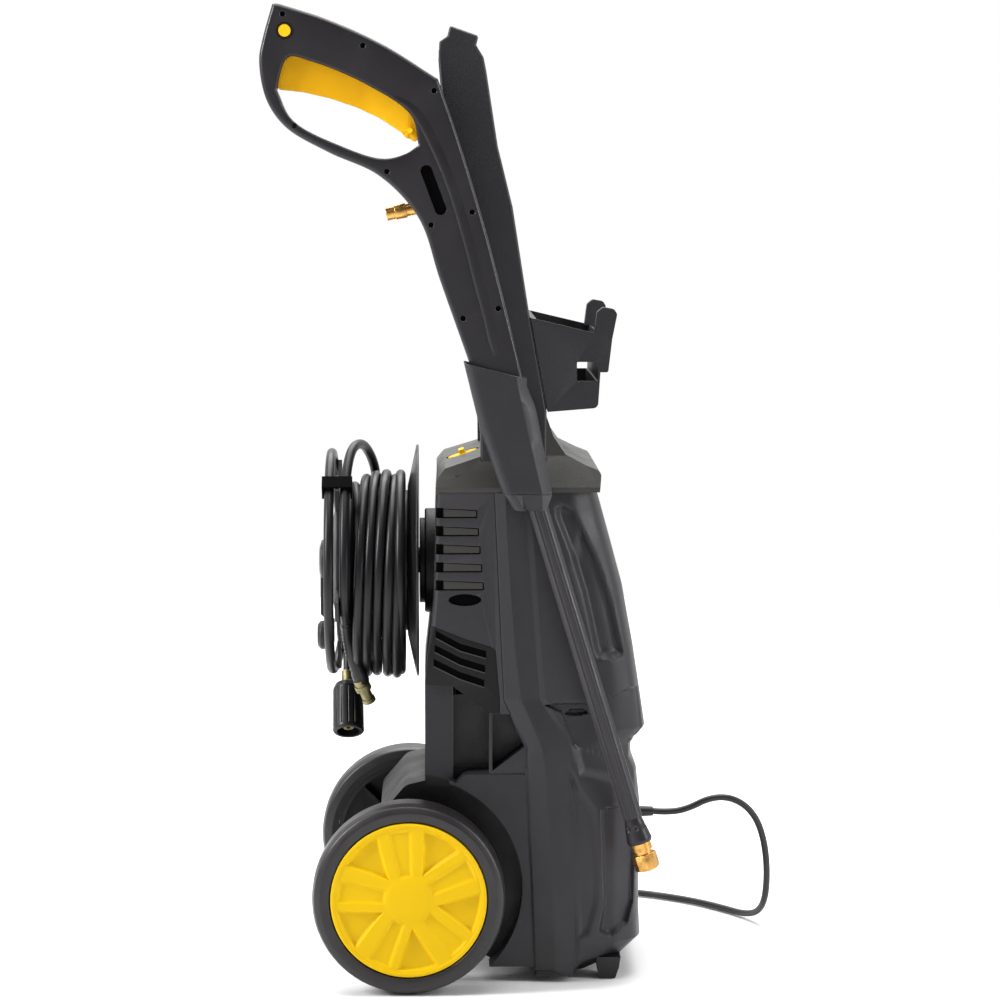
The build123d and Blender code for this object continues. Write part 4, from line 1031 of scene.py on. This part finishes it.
def holster_outline(z, shrink=0.0):
    """Plan outline of the holster at a height, as (x, y) from the back inner corner round the outside."""
    back, front = along(HOLSTER_BACK, z) - shrink, along(HOLSTER_FRONT, z) + shrink
    crease, valley = along(HOLSTER_CREASE, z), along(HOLSTER_VALLEY, z)
    out, inside = HOLSTER_OUT + shrink, HOLSTER_IN - shrink
    pts = [(inside, back), (out + 13, back)]
    pts += [(out + 9 - 9 * math.sin(a), back - 9 + 9 * math.cos(a)) for a in np.radians([15, 35, 55, 75])]
    pts += [(out, back - 10.5), (out + 1.9, valley), (out, crease + 1.2), (out + 0.3, crease),
            (out + 7.5, front + 1.6), (out + 9.5, front), (inside, front)]
    return pts


def rim_height(y):
    """Rim of the holster, slanting up towards the back."""
    return 572.1 + (y - 0.6) * 0.25


def holster_shape():
    """Holster from its closed foot up the wall, over the rim and down inside, with the arm that holds it."""
    # the foot is a little narrower than the collar, and closes towards its middle
    foot = [(x * 0.9 - (14.6 if x < -140 else 13.2), y, FOOT_Z) for x, y in holster_outline(FOOT_Z)]
    rows = [[(x, -60 + (y + 60) * 0.3, z) for x, y, z in foot], foot]
    rows.append([(x, y, COLLAR_LOW) for x, y in holster_outline(COLLAR_LOW)])
    rows.append([(x + (0.9 if x < -150 else 0), y, COLLAR_HIGH) for x, y in holster_outline(COLLAR_HIGH)])
    for share in np.linspace(0, 1, WALL_ROWS):
        outline = holster_outline(WALL_FOOT + share * WALL_HEIGHT)
        rows.append([(x, y, WALL_FOOT + share * (rim_height(y) - WALL_FOOT)) for x, y in outline])
    for shrink, drop in RIM_STEPS:
        outline = holster_outline(WALL_FOOT + WALL_HEIGHT - drop, shrink)
        rows.append([(x, y, rim_height(y) - drop) for x, y in outline])
    count = len(rows[0])
    verts = [p for row in rows for p in row]
    faces = grid_faces(len(rows), count, closed=True)
    faces.append(tuple(range(count)))
    faces.append(tuple(range(len(verts) - count, len(verts))))
    start = len(verts)
    verts += [(x, y, z) for x in ARM_REACH for y, z in HOLSTER_ARM]
    faces += [(start + k, start + (k + 1) % 4, start + 4 + (k + 1) % 4, start + 4 + k) for k in range(4)]
    faces += [tuple(range(start, start + 4)), tuple(range(start + 4, start + 8))]
    holster = piece("gun_holster_shape", verts, faces, CHARCOAL, "machine", 24)
    round_edges(holster, 0.9, math.radians(24))
    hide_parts("gun_holster")


holster_shape()


# ---- camera, light and floor ----
FLOOR_RADIUS, FLOOR_STEPS = 2.6, 96


def add_camera():
    """Long lens on the gun side, looking along the machine's width and a little down."""
    pitch, yaw = math.radians(5.7912), math.radians(1.2605)
    ahead = Vector((math.cos(pitch) * math.cos(yaw), -math.cos(pitch) * math.sin(yaw), -math.sin(pitch)))
    data = bpy.data.cameras.new("camera")
    data.lens, data.sensor_width = 113.94, 36
    data.clip_end = 100
    camera = linked("camera", data)
    camera.location = (-2.965, 0.02829, 0.73447)
    camera.rotation_euler = ahead.to_track_quat("-Z", "Y").to_euler()
    bpy.context.scene.camera = camera


def add_light(name, place, target, size, power):
    data = bpy.data.lights.new(name, "AREA")
    data.shape = "RECTANGLE"
    data.size, data.size_y = size
    data.energy = power
    lamp = linked(name, data)
    lamp.location = place
    lamp.rotation_euler = (Vector(target) - Vector(place)).to_track_quat("-Z", "Y").to_euler()


def add_studio():
    """White surroundings, four soft lights and a round white floor."""
    world = bpy.data.worlds.new("studio")
    world.use_nodes = True
    tree = world.node_tree
    split = tree.nodes.new("ShaderNodeSeparateXYZ")
    tree.links.new(tree.nodes.new("ShaderNodeTexCoord").outputs["Generated"], split.inputs[0])
    # white all round at the horizon and behind the machine, dimmer above and on the gun side
    strength = ramp(tree, split.outputs["X"], -0.5, 0.6, 0.10, 1.0, smooth=True)
    for low, high, at_low, at_high in ((0.25, 0.9, 0.0, 0.45), (0.10, 0.22, 0.7, 0.0)):
        top = tree.nodes.new("ShaderNodeMath")
        top.operation = "MAXIMUM"
        tree.links.new(strength, top.inputs[0])
        tree.links.new(ramp(tree, split.outputs["Z"], low, high, at_low, at_high, smooth=True), top.inputs[1])
        strength = top.outputs["Value"]
    background = tree.nodes["Background"]
    background.inputs["Color"].default_value = (1, 1, 1, 1)
    tree.links.new(strength, background.inputs["Strength"])
    bpy.context.scene.world = world
    add_light("key", (-0.75, 2.2, 1.7), (0, 0, 0.45), (0.5, 1.4), 74)
    add_light("front_fill", (-0.75, -2.2, 1.2), (0, 0, 0.4), (0.4, 1.6), 32)
    add_light("overhead", (-0.5, -0.2, 2.6), (-0.1, 0, 0.4), (1.2, 1.0), 20)
    add_light("floor_wash", (1.4, 0.0, 2.8), (0.9, 0, 0), (2.4, 3.4), 110)
    mesh = bpy.data.meshes.new("floor")
    around = [2 * math.pi * k / FLOOR_STEPS for k in range(FLOOR_STEPS)]
    mesh.from_pydata([(FLOOR_RADIUS * math.cos(a), FLOOR_RADIUS * math.sin(a), 0) for a in around], [],
                     [tuple(range(FLOOR_STEPS))])
    mesh.materials.append(floor_look())
    floor = linked("floor", mesh)
    # just below the tyres and feet, so that no two faces coincide
    floor.location = (0, 0, -0.0006)


def floor_look():
    mat, _, shader = new_material("floor_look")
    shader.inputs["Base Color"].default_value = (0.86, 0.86, 0.86, 1)
    shader.inputs["Roughness"].default_value = 0.7
    shader.inputs["Specular IOR Level"].default_value = 0.2
    return mat


add_camera()
add_studio()
bpy.context.scene.view_settings.view_transform = "Standard"
